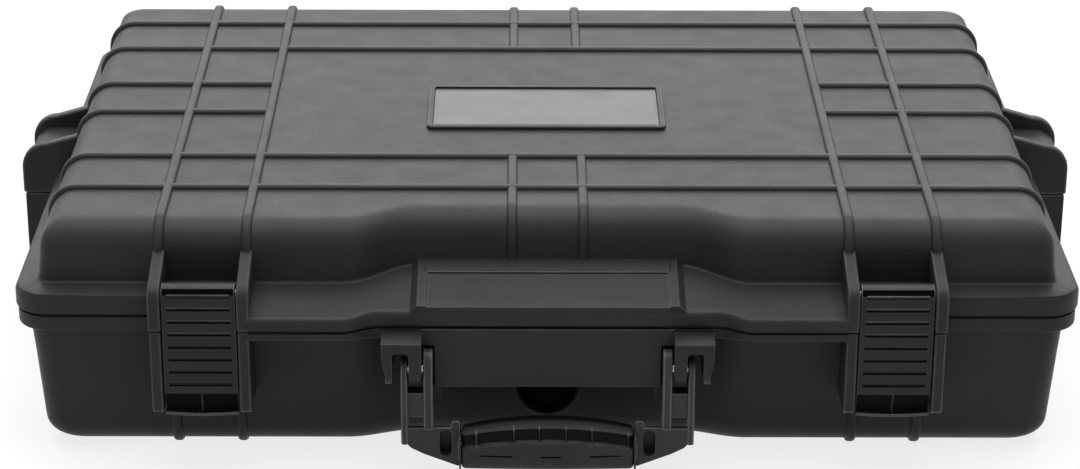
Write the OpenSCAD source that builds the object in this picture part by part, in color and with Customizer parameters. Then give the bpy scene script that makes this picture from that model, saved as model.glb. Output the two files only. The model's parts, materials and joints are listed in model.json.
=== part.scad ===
// Hard tool case: moulded base and hinged lid, two lever latches, folding handle.
// Origin: middle of the overall box, on the floor. +X right, +Y back, +Z up.

/* [Shells] */
// Width over the flange
case_w = 506; // [430:2:620]
// Depth of the flange, front face to back face
case_d = 352; // [320:1:440]
// Height of the base, from its underside to the parting line
base_h = 74; // [70:1:100]
// Height of the lid, from the parting line to its flat top
lid_h = 41; // [38:1:60]
// Wall thickness of both shells
wall = 3.2; // [2.4:0.2:4]
// Outline radius of the flange corners
flange_r = 17; // [12:1:24]
// Draft angle of the outer walls, in degrees
draft = 4; // [1:0.5:5]
// Radius where the walls turn into the lid top
lid_edge_r = 13; // [8:0.5:16]
// Radius where the walls turn into the underside
base_edge_r = 14.5; // [10:0.5:18]
// How far the flange stands out past the base wall
base_inset = 6; // [5:0.5:9]
// How far the flange stands out past the lid wall
lid_inset = 10.5; // [9:0.5:14]
// How far the base flange is stepped in from the lid flange
flange_step = 0.9; // [0.5:0.1:1.5]
// Height of the flange edge on the base
base_flange_h = 8.4; // [7:0.2:10]
// Height of the flange edge on the lid
lid_flange_h = 10.4; // [9:0.2:12]
// Slope of the flange top, in degrees
flange_slope = 10.5; // [6:0.5:12]

/* [Front recess] */
// Half width of the set-back middle of the front walls
recess_half = 50; // [46:1:58]
// Width of the curve that leads into the recess
recess_ease = 47; // [40:1:50]
// Half width of the middle of the flange, between its two curves
mid_half = 82; // [76:1:90]
// Width of those curves
mid_ease = 20; // [14:1:26]
// How far the lid wall is set back there
lid_recess = 15; // [8:0.5:17]
// How far the base wall is set back there
base_recess = 8.5; // [6:0.5:12]
// How far the flange reaches forward beside the recess
wing_out = 19; // [17:0.5:22]
// How far the flange reaches forward in the middle
mid_out = 12.5; // [10:0.5:14]

/* [Ribs] */
// Width of every rib
rib_w = 5; // [3.5:0.5:7]
// Height of the ribs on the lid
lid_rib_h = 2.2; // [1.5:0.1:3]
// Height of the ribs on the base, which are its feet
base_rib_h = 1.8; // [1.2:0.1:2.5]
// Distance between the two ribs of a pair
rib_pair = 41.4; // [38:0.2:46]
// Middle of the front pair of rows, behind the flange face
front_pair_y = 81.3; // [70:0.1:90]
// Middle of the pair of rows that runs into the strap plates
strap_pair_y = 184.4; // [170:0.1:200]
// Middle of the back pair of rows
back_pair_y = 281.6; // [270:0.1:290]
// Centre of the cross rib pairs, out from the middle
cross_pair_x = 163; // [150:1:175]
// Half the distance between the two short middle ribs
mid_rib_x = 17; // [12:1:22]

/* [Name plate] */
// Width of the raised frame
plate_w = 122; // [90:1:130]
// Depth of the raised frame
plate_d = 61; // [40:1:70]
// Middle of the frame, behind the flange face
plate_y = 170; // [150:1:190]
// Width of the ridge round the plate
plate_ridge = 3; // [2:0.5:4]
// Thickness of the plate
plate_t = 1; // [0.8:0.1:1.4]

/* [Guards and strap plates] */
// Thickness of the latch guards and strap plates
guard_t = 5.4; // [4:0.2:6]
// How far they stand out past the flange
guard_out = 18.5; // [18:0.5:22]
// Lowest point of the guards on the base
guard_low_z = 33; // [26:1:38]
// Radius of the strap bars
strap_bar_r = 2.5; // [2:0.5:3]

/* [Latches] */
// Width of a latch lever
latch_w = 34.6; // [28:0.2:36]
// Thickness of the lever plate
latch_t = 4.6; // [4:0.2:5.4]
// Radius of the roll round the latch pin
latch_roll_r = 5; // [4.5:0.1:5.4]
// Radius of the latch pins
latch_pin_r = 2; // [1.5:0.1:2.4]
// Grip bars on a lever
latch_bars = 8; // [5:1:9]

/* [Handle] */
// Length of the rubber grip
grip_l = 81.6; // [70:0.2:88]
// Height of the grip at its middle
grip_h = 24.4; // [20:0.2:26]
// Front-to-back size of the grip
grip_d = 22; // [18:0.5:24]
// Front-to-back size of the handle arms
arm_d = 11; // [10:0.5:12]
// Radius of the handle pins
handle_pin_r = 2; // [1.5:0.1:2.5]
// How far the handle pins lie in front of the flange face
handle_pin_out = 15.5; // [15:0.5:18]

/* [Hinges] */
// Radius of the hinge knuckles
knuckle_r = 6; // [5:0.5:7]
// Radius of the hinge pins
hinge_pin_r = 2; // [1.5:0.1:2.5]
// How far the hinge axis lies behind the back flange face
hinge_out = 9; // [8.5:0.5:12]
// Length of one hinge
hinge_l = 75; // [55:5:80]

/* [Valve] */
// Radius of the well in the base wall
well_r = 14.6; // [13.5:0.1:16]
// Radius of the valve knob
knob_r = 9; // [7:0.5:10]

/* [Padding] */
// Thickness of the padding in the base
base_pad_t = 10; // [5:1:20]
// Thickness of the padding in the lid
lid_pad_t = 14; // [8:1:18]

/* [Fits] */
// Gap between the two flanges, closed by the seal
parting_gap = 0.5; // [0.3:0.1:0.8]
// Radial clearance of a piece that turns on a pin
pin_clear = 0.08; // [0.03:0.01:0.1]
// Clearance beside moving pieces and padding
side_clear = 0.6; // [0.4:0.1:1]
// Clearance between the latch hook and the flange that it holds
hook_clear = 0.3; // [0.2:0.1:0.6]

/* [Hidden] */
$fn = 48;

shell_grey = [0.20, 0.20, 0.21];
part_black = [0.11, 0.11, 0.12];
rubber_black = [0.07, 0.07, 0.07];
foam_grey = [0.16, 0.16, 0.17];
steel = [0.72, 0.73, 0.75];

// Heights above the floor
base_z = base_rib_h;
parting_z = base_z + base_h;
base_top_z = parting_z - parting_gap / 2;
lid_low_z = parting_z + parting_gap / 2;
lid_top_z = parting_z + lid_h;
flange_low_z = parting_z - base_flange_h;
flange_edge_z = parting_z + lid_flange_h;

half_w = case_w / 2;

// How far the underside of the flange rises where it reaches forward
wing_rise = 4;

// Smallest plan radius of a shell corner
tight_r = 3;

// Guards: the upper edge slopes out to a rounded corner
guard_top_in_z = flange_edge_z + 18.9;
guard_top_out_z = flange_edge_z + 12.2;
guard_corner_r = 8;
strap_top_out_z = flange_edge_z + 13.8;
strap_corner_r = 13;
guard_root = 14;
guard_foot_r = 6;
roof_t = 3;
roof_z = guard_top_out_z - 10;
strap_drop = 2.8;
base_guard_out = guard_out - flange_step;
guard_inner_x = cross_pair_x - rib_pair / 2;
guard_outer_x = cross_pair_x + rib_pair / 2;
base_rib_pair = 31.2;

// Latch: pin centre, lip and hook
latch_pin_out = guard_out - latch_roll_r - 2;
latch_pin_z = flange_edge_z + 6.8;
latch_front_out = latch_pin_out + latch_roll_r;
latch_low_z = guard_low_z + 1.5;
latch_scoop_z = latch_low_z + 11.5;
latch_groove_w = latch_w - 5;
latch_groove_h = 1.6;
latch_groove_deep = 1.2;
latch_lip_h = 2.6;
hook_reach = 4;
hook_h = 7;
hook_t = 3;

// Handle: pin height, bracket and arm plates, measured out from the middle
handle_pin_z = parting_z - 19.3;
bracket_out = handle_pin_out + 7.5;
bracket_top_z = base_top_z - 1.2;
bracket_slope = 2.4;
bracket_slot_up = 11;
inner_plate_x = grip_l / 2 + 13.2;
inner_plate_t = 4.5;
plate_gap = 0.7;
prong_t = 6;
outer_plate_t = 3.3;
inner_prong_x = inner_plate_x + inner_plate_t + plate_gap;
outer_plate_x = inner_prong_x + prong_t + plate_gap;
outer_prong_x = outer_plate_x + outer_plate_t + 3.6;
outer_prong_t = 5.2;
bracket_end_x = outer_prong_x + outer_prong_t;
prong_r = 7.5;
heel_up = 4;
arm_r = arm_d / 2;
grip_drop = 49.1;
grip_low_z = handle_pin_z - grip_drop;
grip_mid_z = grip_low_z + grip_h / 2;
grip_out = handle_pin_out + 4;
grip_reach = grip_out + grip_d / 2;
core_h = 9;
core_d = 11;
core_low_z = grip_mid_z - core_h / 2 - 2;
web_drop = 11.4;
web_h = 12.6;
foot_drop = 29.2;
corner_slot_x = grip_l / 2 + 7.3;
corner_slot_r = 2.8;
corner_slot_back = 3;
corner_slot_up = 9;
corner_slot_down = 4.5;

// Apron between the two brackets
apron_half = inner_plate_x - side_clear;
apron_low_z = handle_pin_z - 11.3;

// Valve well, low in the recessed wall
well_up = 30.5;
well_z = base_z + well_up;
well_deep = 12;
well_floor = base_inset + base_recess + well_deep;
valve_hole_r = 5;
valve_flange_t = 2;
valve_seal_t = 1.5;
valve_rim_r = 11.5;
valve_boss_t = 3;
valve_nut_t = 3.5;
boss_back = well_floor + wall + valve_boss_t;
knob_t = 5;
knob_stem_r = 3;
knob_stem_l = 9;

// Seal groove, between the wall and the edge of the flange
seal_w = 4;
seal_inset = 2.4;
groove_deep = 3;
groove_clear = 0.15;

// Hinge
hinge_x = cross_pair_x;
knuckle_count = 5;
knuckle_l = hinge_l / knuckle_count;
knuckle_gap = 0.5;
hinge_y = case_d + hinge_out;
hinge_reach = hinge_out + knuckle_r;

// The front flange face lies here, so that the overall box is centred
front_y = -(case_d + hinge_reach - grip_reach) / 2;

// Platform for the hand behind the handle
platform_half = inner_prong_x + 2.2;
platform_h = 3.3;
platform_chamfer = 3.5;
platform_front_y = 0.3 - mid_out;
panel_half = platform_half - 4.5;
panel_deep = 0.8;
ledge_d = 10;

arc_steps = 10;
big = 2 * case_w;

// ---- shape helpers ----

// A smooth step from 0 to 1
function ease(t) = (1 - cos(180 * min(1, max(0, t)))) / 2;

// Curve points for x from a to b, with y easing from p to q
function ease_points(a, b, p, q) =
    [for (i = [0:arc_steps]) let (t = i / arc_steps) [a + (b - a) * t, p + (q - p) * ease(t)]];

// A point list mirrored in the line x = 0, so that it closes symmetrically
function both_sides(points) =
    concat(points, [for (i = [len(points) - 1:-1:0]) [-points[i][0], points[i][1]]]);

// The rounded corner of a drafted wall: side is -1 or 1, up is 1 for a lid and -1 for a base
function corner_arc(x, z_open, z_closed, r, side, up) =
    let (centre_z = z_closed - up * r,
         wall_x = x - side * abs(centre_z - z_open) * tan(draft),
         centre_x = wall_x - side * r / cos(draft))
    [for (i = [0:arc_steps]) let (a = draft + (90 - draft) * i / arc_steps)
        [centre_x + side * r * cos(a), centre_z + up * r * sin(a)]];

// Section of a tray from wall a to wall b, open at z_open and closed at z_closed
function tray_section(a, b, z_open, z_closed, r, up) =
    let (far = corner_arc(b, z_open, z_closed, r, 1, up), near = corner_arc(a, z_open, z_closed, r, -1, up))
    concat([[a, z_open], [b, z_open]], far, [for (i = [arc_steps:-1:0]) near[i]]);

// A rectangle with rounded corners, from y = 0 back to y = d
module rounded(w, d, r) {
    translate([-w / 2 + r, 0]) square([w - 2 * r, d]);
    translate([-w / 2, r]) square([w, d - 2 * r]);
    for (x = [-1, 1], y = [r, d - r])
        translate([x * (w / 2 - r), y]) circle(r);
}

// Extrude a front view (x, z) through the depth
module along_y(from, to) {
    translate([0, to, 0]) rotate([90, 0, 0]) linear_extrude(to - from) children();
}

// Extrude a side view (y, z) across the width
module along_x(from, to) {
    translate([from, 0, 0]) rotate([90, 0, 90]) linear_extrude(to - from) children();
}

// A cylinder along X, at the given side view position
module rod_x(from, to, y, z, r) {
    along_x(from, to) translate([y, z]) circle(r);
}

module both_x() {
    for (s = [0, 1]) mirror([s, 0, 0]) children();
}

// Everything is drawn from the front flange face and then moved into place
module placed(c) {
    color(c) translate([0, front_y, 0]) children();
}

// ---- shells ----

// A tray with drafted walls and a rounded closed edge, made of three crossing extrusions
module tray(inset, front, z_open, z_closed, r, up) {
    w = case_w - 2 * inset;
    deep = case_d - front - inset;
    low = min(z_open, z_closed);
    high = max(z_open, z_closed);
    intersection() {
        translate([0, front, low]) linear_extrude(high - low)
            rounded(w, deep, max(flange_r - inset, tight_r));
        along_x(-big, big)
            polygon(tray_section(front, front + deep, z_open, z_closed, r, up));
        along_y(-big, big)
            polygon(tray_section(-w / 2, w / 2, z_open, z_closed, r, up));
    }
}

// The parts of the plan that lie beside the front recess, which is depth deep at its middle
module beside_recess(shift, depth) {
    edge = recess_half + shift;
    reach = case_d / 2;
    both_x() linear_extrude(2 * big, center = true)
        polygon(concat(ease_points(edge, edge + recess_ease, depth, 0),
            [[big, 0], [big, reach], [edge, reach]]));
}

// A shell form with its front recess; grow is positive outwards
module recessed_tray(inset, recess, grow, z_open, z_closed, r, up) {
    in = inset - grow;
    tray(in, in + recess, z_open, z_closed, r, up);
    intersection() {
        tray(in, in, z_open, z_closed, r, up);
        translate([0, in, 0]) beside_recess(-grow, recess + 1.25 * (r - grow));
    }
}

module lid_form(grow) {
    recessed_tray(lid_inset, lid_recess, grow, lid_low_z, lid_top_z + grow, lid_edge_r + grow, 1);
}

module base_form(grow) {
    recessed_tray(base_inset, base_recess, grow, base_top_z, base_z - grow, base_edge_r + grow, -1);
}

// Plan of the flange without the part that reaches forward, stepped in all round
module flange_body(step) {
    translate([0, step]) rounded(case_w - 2 * step, case_d - 2 * step, flange_r - step);
}

// Plan of the flange: the shell outline with the part that reaches forward between the latches
module flange_plan(step) {
    flange_body(step);
    polygon(both_sides(concat([[guard_inner_x, flange_r], [guard_inner_x, step - wing_out]],
        ease_points(mid_half + mid_ease, mid_half, step - wing_out, step - mid_out))));
}

// Height of the sloping flange top at a distance inside the flange edge
function slope_z(inside) = flange_edge_z + inside * tan(flange_slope);

// Side view of the flange top: it falls towards every edge
module flange_roof(low, high) {
    deep = lid_inset + lid_recess + wing_out;
    polygon([[low - deep, lid_low_z], [high + deep, lid_low_z], [high + deep, slope_z(-deep)],
        [high - deep, slope_z(deep)], [low + deep, slope_z(deep)], [low - deep, slope_z(-deep)]]);
}

module lid_flange() {
    intersection() {
        translate([0, 0, lid_low_z]) linear_extrude(lid_h) flange_plan(0);
        along_x(-big, big) flange_roof(0, case_d);
        along_y(-wing_out, case_d) flange_roof(-half_w, half_w);
    }
}

// The underside slopes up where the flange reaches forward
module base_flange() {
    translate([0, 0, flange_low_z]) linear_extrude(base_top_z - flange_low_z)
        flange_body(flange_step);
    intersection() {
        translate([0, 0, flange_low_z]) linear_extrude(base_top_z - flange_low_z)
            flange_plan(flange_step);
        along_x(-guard_inner_x, guard_inner_x)
            polygon([[-wing_out, base_top_z], [flange_r, base_top_z], [flange_r, flange_low_z],
                [0, flange_low_z], [-wing_out, flange_low_z + wing_rise]]);
    }
}

// The ridges of the lid: long cross ribs, rows, and short ribs in the middle
module lid_rib_slabs() {
    cut = 3 * lid_h;
    both_x() for (x = [guard_inner_x, guard_outer_x])
        translate([x - rib_w / 2, 0, lid_low_z]) cube([rib_w, case_d, cut]);
    for (side = [-1, 1]) {
        for (pair_y = [front_pair_y, back_pair_y])
            translate([-half_w, pair_y + side * rib_pair / 2 - rib_w / 2, lid_low_z])
                cube([case_w, rib_w, cut]);
        both_x() translate([guard_inner_x, strap_pair_y + side * rib_pair / 2 - rib_w / 2, lid_low_z])
            cube([half_w, rib_w, cut]);
    }
    for (x = [-mid_rib_x, mid_rib_x]) {
        translate([x - rib_w / 2, 0, lid_low_z])
            cube([rib_w, front_pair_y + rib_pair / 2, cut]);
        translate([x - rib_w / 2, back_pair_y - rib_pair / 2, lid_low_z])
            cube([rib_w, case_d, cut]);
    }
}

module base_rib_slabs() {
    both_x() for (side = [-1, 1])
        translate([cross_pair_x + side * base_rib_pair / 2 - rib_w / 2, 0, 0])
            cube([rib_w, case_d, flange_low_z]);
}

// Side view of a guard on the lid, with the flange face at 0 and out to the left
module lid_guard_profile(low_z, top_z, r) {
    corner = [for (i = [0:arc_steps]) let (a = 90 * i / arc_steps)
        [-guard_out + r * (1 - sin(a)), top_z + r * (cos(a) - 1)]];
    polygon(concat([[guard_root, lid_low_z], [guard_root, guard_top_in_z]], corner,
        [[-guard_out, low_z], [-side_clear, low_z], [-side_clear, lid_low_z]]));
}

module base_guard_profile(top_z) {
    corner = [for (i = [0:arc_steps]) let (a = 90 * i / arc_steps)
        [-base_guard_out + 1 + guard_foot_r * (1 - cos(a)), guard_low_z + guard_foot_r * (1 - sin(a))]];
    polygon(concat([[guard_root, guard_low_z], [guard_root, base_top_z - side_clear],
        [-side_clear, base_top_z - side_clear], [-side_clear, top_z], [-base_guard_out, top_z]], corner));
}

// Places a side view profile as the four latch guards
module at_latch_guards() {
    both_x() for (x = [guard_inner_x, guard_outer_x])
        along_x(x - guard_t / 2, x + guard_t / 2) children();
}

// Places a side view profile as the four strap plates
module at_strap_plates() {
    both_x() for (side = [-1, 1])
        translate([half_w, strap_pair_y + side * rib_pair / 2 - guard_t / 2, 0])
            rotate([90, 0, 180]) linear_extrude(guard_t) children();
}

// Roof that ties the two strap plates on each side of the lid
module strap_roof() {
    both_x() translate([half_w - lid_inset, strap_pair_y - rib_pair / 2, roof_z])
        cube([lid_inset + guard_out - roof_t, rib_pair, roof_t]);
}

// The sloping platform, with a chamfer each side and a shallow panel
module platform() {
    wall_y = lid_inset + lid_recess;
    intersection() {
        translate([-platform_half - platform_chamfer, platform_front_y, lid_low_z])
            cube([2 * (platform_half + platform_chamfer), wall_y + 2 - platform_front_y, lid_h]);
        translate([0, 0, flange_edge_z]) rotate([flange_slope, 0, 0]) difference() {
            along_y(-case_d / 4, case_d / 4)
                polygon(both_sides([[platform_half + platform_chamfer, -lid_flange_h],
                    [platform_half + platform_chamfer, 0], [platform_half, platform_h]]));
            translate([-panel_half, -case_d / 4, platform_h - panel_deep])
                cube([2 * panel_half, case_d / 4 + wall_y - ledge_d, platform_h]);
        }
    }
}

module plate_frame() {
    plate_high = plate_t + 0.6;
    translate([-plate_w / 2, plate_y - plate_d / 2, lid_top_z - wall]) difference() {
        cube([plate_w, plate_d, wall + plate_high]);
        translate([plate_ridge, plate_ridge, wall])
            cube([plate_w - 2 * plate_ridge, plate_d - 2 * plate_ridge, plate_high + 1]);
    }
}

// One knuckle of a hinge with the arm that carries it; up is 1 for the lid and -1 for the base
module knuckle(x, up) {
    from = x + knuckle_gap / 2;
    to = x + knuckle_l - knuckle_gap / 2;
    edge_z = up > 0 ? lid_low_z : base_top_z;
    root_y = case_d - wall;
    rod_x(from, to, hinge_y, parting_z, knuckle_r);
    along_x(from, to)
        polygon([[root_y, edge_z], [hinge_y, edge_z], [hinge_y, parting_z + up * knuckle_r],
            [root_y, parting_z + up * (knuckle_r + 1)]]);
}

// The base carries the outer and middle knuckles of each hinge, the lid those between
module knuckles(first, up) {
    for (side = [-1, 1], i = [first:2:knuckle_count - 1])
        knuckle(side * hinge_x - hinge_l / 2 + i * knuckle_l, up);
}

module hinge_bores(r) {
    for (side = [-1, 1])
        rod_x(side * hinge_x - hinge_l / 2 - 1, side * hinge_x + hinge_l / 2 + 1, hinge_y, parting_z, r);
}

// Flat ring that follows the flange, from one inset to another
module flange_ring(inset, width) {
    difference() {
        translate([0, inset]) rounded(case_w - 2 * inset, case_d - 2 * inset, flange_r - inset);
        translate([0, inset + width])
            rounded(case_w - 2 * (inset + width), case_d - 2 * (inset + width), flange_r - inset - width);
    }
}

module latch_pin_bores(r) {
    both_x() rod_x(guard_inner_x - guard_t, guard_outer_x + guard_t, -latch_pin_out, latch_pin_z, r);
}

module lid_shell() {
    placed(shell_grey) difference() {
        union() {
            lid_form(0);
            intersection() {
                lid_form(lid_rib_h);
                lid_rib_slabs();
            }
            lid_flange();
            platform();
            at_latch_guards() lid_guard_profile(lid_low_z, guard_top_out_z, guard_corner_r);
            at_strap_plates() lid_guard_profile(parting_z - strap_drop, strap_top_out_z, strap_corner_r);
            strap_roof();
            plate_frame();
            knuckles(1, 1);
        }
        lid_form(-wall);
        translate([0, 0, lid_low_z - 1]) linear_extrude(groove_deep + 1)
            flange_ring(seal_inset, seal_w + 2 * groove_clear);
        latch_pin_bores(latch_pin_r);
        hinge_bores(hinge_pin_r + pin_clear);
    }
}

// The block with two prongs that carries one end of the handle
module handle_bracket() {
    wall_y = base_inset + base_recess;
    both_x() difference() {
        union() {
            along_x(inner_prong_x, bracket_end_x)
                polygon([[-bracket_out, handle_pin_z], [wall_y, handle_pin_z],
                    [wall_y, bracket_top_z], [-mid_out, bracket_top_z],
                    [-bracket_out, bracket_top_z - bracket_slope]]);
            for (x = [[inner_prong_x, inner_prong_x + prong_t], [outer_prong_x, bracket_end_x]]) {
                rod_x(x[0], x[1], -handle_pin_out, handle_pin_z, prong_r);
                along_x(x[0], x[1]) translate([-handle_pin_out, handle_pin_z - prong_r])
                    square([handle_pin_out + wall_y, 2 * prong_r]);
            }
        }
        translate([inner_prong_x + prong_t, -2 * bracket_out, handle_pin_z - 2 * prong_r])
            cube([outer_prong_x - inner_prong_x - prong_t, 2 * bracket_out - 2,
                2 * prong_r + bracket_slot_up]);
    }
}

// Apron behind the grip, and the pads that the hanging handle leans on
module apron() {
    pad_h = 7.5;
    translate([-apron_half, -mid_out, apron_low_z])
        cube([2 * apron_half, mid_out + base_inset + base_recess + 2, base_top_z - apron_low_z]);
    both_x() translate([inner_plate_x - 4, -handle_pin_out + arm_r + hook_clear, apron_low_z - pad_h - 0.5])
        cube([inner_plate_t + 4, handle_pin_out + base_inset + base_recess, pad_h]);
}

module valve_boss() {
    valve_disc(base_inset + base_recess, boss_back, well_r + wall);
}

module valve_cuts() {
    valve_disc(0, well_floor, well_r);
    valve_disc(0, case_d / 4, valve_hole_r);
}

module base_shell() {
    placed(shell_grey) difference() {
        union() {
            base_form(0);
            intersection() {
                base_form(base_rib_h);
                base_rib_slabs();
            }
            base_flange();
            at_latch_guards() base_guard_profile(base_top_z);
            at_strap_plates() base_guard_profile(parting_z - strap_drop - parting_gap);
            handle_bracket();
            apron();
            knuckles(0, -1);
        }
        difference() {
            base_form(-wall);
            valve_boss();
        }
        valve_cuts();
        both_x() rod_x(inner_prong_x - 1, inner_prong_x + prong_t + 1,
            -handle_pin_out, handle_pin_z, handle_pin_r);
        strap_bars(strap_bar_r, guard_t);
        hinge_bores(hinge_pin_r);
    }
}

module lid_seal() {
    placed(rubber_black) translate([0, 0, base_top_z]) linear_extrude(lid_low_z + groove_deep - base_top_z)
        flange_ring(seal_inset + groove_clear, seal_w);
}

module name_plate() {
    edge = plate_ridge + groove_clear;
    placed(part_black) translate([-plate_w / 2 + edge, plate_y - plate_d / 2 + edge, lid_top_z])
        cube([plate_w - 2 * edge, plate_d - 2 * edge, plate_t]);
}

module base_foam() {
    placed(foam_grey) difference() {
        intersection() {
            base_form(-wall - hook_clear);
            translate([-half_w, 0, 0]) cube([case_w, case_d, base_z + wall + hook_clear + base_pad_t]);
        }
        valve_disc(0, boss_back + valve_nut_t + 2, well_r + wall + hook_clear);
    }
}

module lid_foam() {
    placed(foam_grey) intersection() {
        lid_form(-wall - hook_clear);
        translate([-half_w, 0, lid_top_z - wall - hook_clear - lid_pad_t]) cube([case_w, case_d, lid_h]);
    }
}

// ---- pins and bars ----

module hinge_pin(side) {
    placed(steel) rod_x(side * hinge_x - hinge_l / 2 + 1, side * hinge_x + hinge_l / 2 - 1,
        hinge_y, parting_z, hinge_pin_r);
}

module latch_pin(side) {
    reach = guard_t / 2 - 0.5;
    placed(steel) mirror([side < 0 ? 1 : 0, 0, 0])
        rod_x(guard_inner_x - reach, guard_outer_x + reach, -latch_pin_out, latch_pin_z, latch_pin_r);
}

module handle_pin(side) {
    placed(steel) mirror([side < 0 ? 1 : 0, 0, 0])
        rod_x(inner_plate_x + hook_clear, outer_plate_x + outer_plate_t - hook_clear,
            -handle_pin_out, handle_pin_z, handle_pin_r);
}

// The strap bars with their ends reach millimetres past the middle of the plates
module strap_bars(r, reach) {
    both_x() along_y(strap_pair_y - rib_pair / 2 - reach, strap_pair_y + rib_pair / 2 + reach)
        translate([half_w + guard_out / 2, (guard_low_z + flange_low_z) / 2]) circle(r);
}

module strap_bar(side) {
    placed(steel) intersection() {
        strap_bars(strap_bar_r, guard_t / 2 - 0.5);
        translate([side < 0 ? -big : 0, 0, 0]) cube(big);
    }
}

// ---- latches ----

// Side view of a lever: roll, plate, scooped finger lip and the hook behind
module latch_profile() {
    back_out = latch_front_out - latch_t;
    hook_top_z = flange_low_z - hook_clear;
    translate([-latch_pin_out, latch_pin_z]) circle(latch_roll_r);
    difference() {
        translate([-latch_front_out, latch_low_z]) square([latch_t, latch_pin_z - latch_low_z]);
        translate([-latch_front_out - 2, (latch_low_z + latch_lip_h + latch_scoop_z) / 2])
            circle((latch_scoop_z - latch_low_z - latch_lip_h) / 2);
    }
    polygon([[-back_out - 1, hook_top_z - hook_h], [-back_out + 6, hook_top_z - hook_h],
        [hook_reach, hook_top_z - 1.5], [hook_reach, hook_top_z], [-hook_clear - 2, hook_top_z],
        [-hook_clear - 4, hook_top_z - hook_t], [-back_out - 1, hook_top_z - hook_t]]);
}

module latch_lever(side) {
    top_z = latch_pin_z;
    pitch = (top_z - latch_scoop_z - 1.5) / (latch_bars - 1);
    placed(part_black) translate([side * cross_pair_x, 0, 0]) difference() {
        along_x(-latch_w / 2, latch_w / 2) latch_profile();
        rod_x(-latch_w, latch_w, -latch_pin_out, latch_pin_z, latch_pin_r + pin_clear);
        for (i = [0:latch_bars - 1])
            translate([-latch_groove_w / 2, -latch_front_out - 1, top_z - i * pitch - latch_groove_h / 2])
                cube([latch_groove_w, latch_groove_deep + 1, latch_groove_h]);
    }
}

// ---- handle ----

// Side view of an arm plate: a bar with a round end round the pin, or above it by heel
module arm_plate(x, t, heel, low_z) {
    rod_x(x, x + t, -handle_pin_out, handle_pin_z + heel, arm_r);
    translate([x, -handle_pin_out - arm_r, low_z]) cube([t, arm_d, handle_pin_z + heel - low_z]);
}

module handle_frame() {
    arm_end = outer_plate_x + outer_plate_t;
    web_low = handle_pin_z - web_drop - web_h;
    foot_z = handle_pin_z - foot_drop;
    placed(part_black) difference() {
        union() {
            both_x() {
                arm_plate(inner_plate_x, inner_plate_t, heel_up, foot_z);
                arm_plate(outer_plate_x, outer_plate_t, 0, foot_z);
                translate([inner_plate_x, -handle_pin_out - arm_r + 1.5, web_low])
                    cube([arm_end - inner_plate_x, arm_d - 3, web_h]);
                along_y(-handle_pin_out - arm_r, -handle_pin_out + arm_r)
                    polygon([[grip_l / 2 + side_clear, grip_low_z], [grip_l / 2 + 2, grip_low_z],
                        [inner_plate_x + inner_plate_t, grip_low_z + 6.2],
                        [arm_end, grip_low_z + 10.8], [arm_end, foot_z],
                        [grip_l / 2 + side_clear, foot_z]]);
            }
            translate([-grip_l / 2 - side_clear - 1, -grip_out - core_d / 2, core_low_z])
                cube([grip_l + 2 * side_clear + 2, core_d, core_h]);
        }
        both_x() {
            rod_x(inner_plate_x - 1, arm_end + 1, -handle_pin_out, handle_pin_z, handle_pin_r + pin_clear);
            along_y(-2 * handle_pin_out, arm_r - handle_pin_out - corner_slot_back) {
                translate([corner_slot_x, foot_z - corner_slot_down]) circle(corner_slot_r);
                translate([corner_slot_x, grip_low_z + corner_slot_up]) circle(corner_slot_r);
                translate([corner_slot_x - corner_slot_r, grip_low_z + corner_slot_up])
                    square([2 * corner_slot_r, foot_z - corner_slot_down - grip_low_z - corner_slot_up]);
            }
        }
    }
}

// The grip is arched on top and round in section, and it slides over the core
module handle_grip() {
    end_drop = 5;
    arch = [for (i = [-arc_steps:arc_steps]) let (t = i / arc_steps)
        [t * grip_l / 2, grip_h - end_drop * t * t]];
    placed(rubber_black) difference() {
        intersection() {
            translate([0, 0, grip_low_z]) along_y(-grip_out - grip_d / 2, -grip_out + grip_d / 2)
                polygon(concat([[grip_l / 2, 0], [-grip_l / 2, 0]], arch));
            along_x(-grip_l / 2, grip_l / 2) translate([-grip_out, grip_mid_z])
                grip_section();
        }
        translate([-grip_l, -grip_out - core_d / 2, core_low_z])
            cube([2 * grip_l, core_d, core_h]);
    }
}

module grip_section() {
    r = 8;
    translate([-grip_d / 2 + r, -grip_h / 2]) square([grip_d - 2 * r, grip_h]);
    translate([-grip_d / 2, -grip_h / 2 + r]) square([grip_d, grip_h - 2 * r]);
    for (y = [-1, 1], z = [-1, 1])
        translate([y * (grip_d / 2 - r), z * (grip_h / 2 - r)]) circle(r);
}

// ---- valve ----

// A disc along Y round the valve axis
module valve_disc(from, to, r) {
    along_y(from, to) translate([0, well_z]) circle(r);
}

module valve_body() {
    placed(part_black) difference() {
        union() {
            valve_disc(well_floor - valve_seal_t - valve_flange_t, well_floor - valve_seal_t, valve_rim_r);
            valve_disc(well_floor - valve_seal_t, boss_back + valve_nut_t + 0.5, valve_hole_r);
        }
        valve_disc(0, case_d / 4, knob_stem_r + pin_clear);
    }
}

module valve_seal() {
    placed(rubber_black) difference() {
        valve_disc(well_floor - valve_seal_t, well_floor, valve_rim_r - 1);
        valve_disc(0, case_d / 4, valve_hole_r);
    }
}

module valve_nut() {
    placed(part_black) difference() {
        valve_disc(boss_back, boss_back + valve_nut_t, valve_rim_r - 2);
        valve_disc(0, case_d / 4, valve_hole_r);
    }
}

module valve_knob() {
    knob_back = well_floor - valve_seal_t - valve_flange_t - hook_clear;
    slot_w = 2.4;
    placed(part_black) difference() {
        union() {
            valve_disc(knob_back - knob_t, knob_back, knob_r);
            valve_disc(knob_back, knob_back + knob_stem_l, knob_stem_r);
        }
        translate([-knob_r, knob_back - knob_t - 1, well_z - slot_w / 2]) cube([2 * knob_r, 2.5, slot_w]);
    }
}

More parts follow.
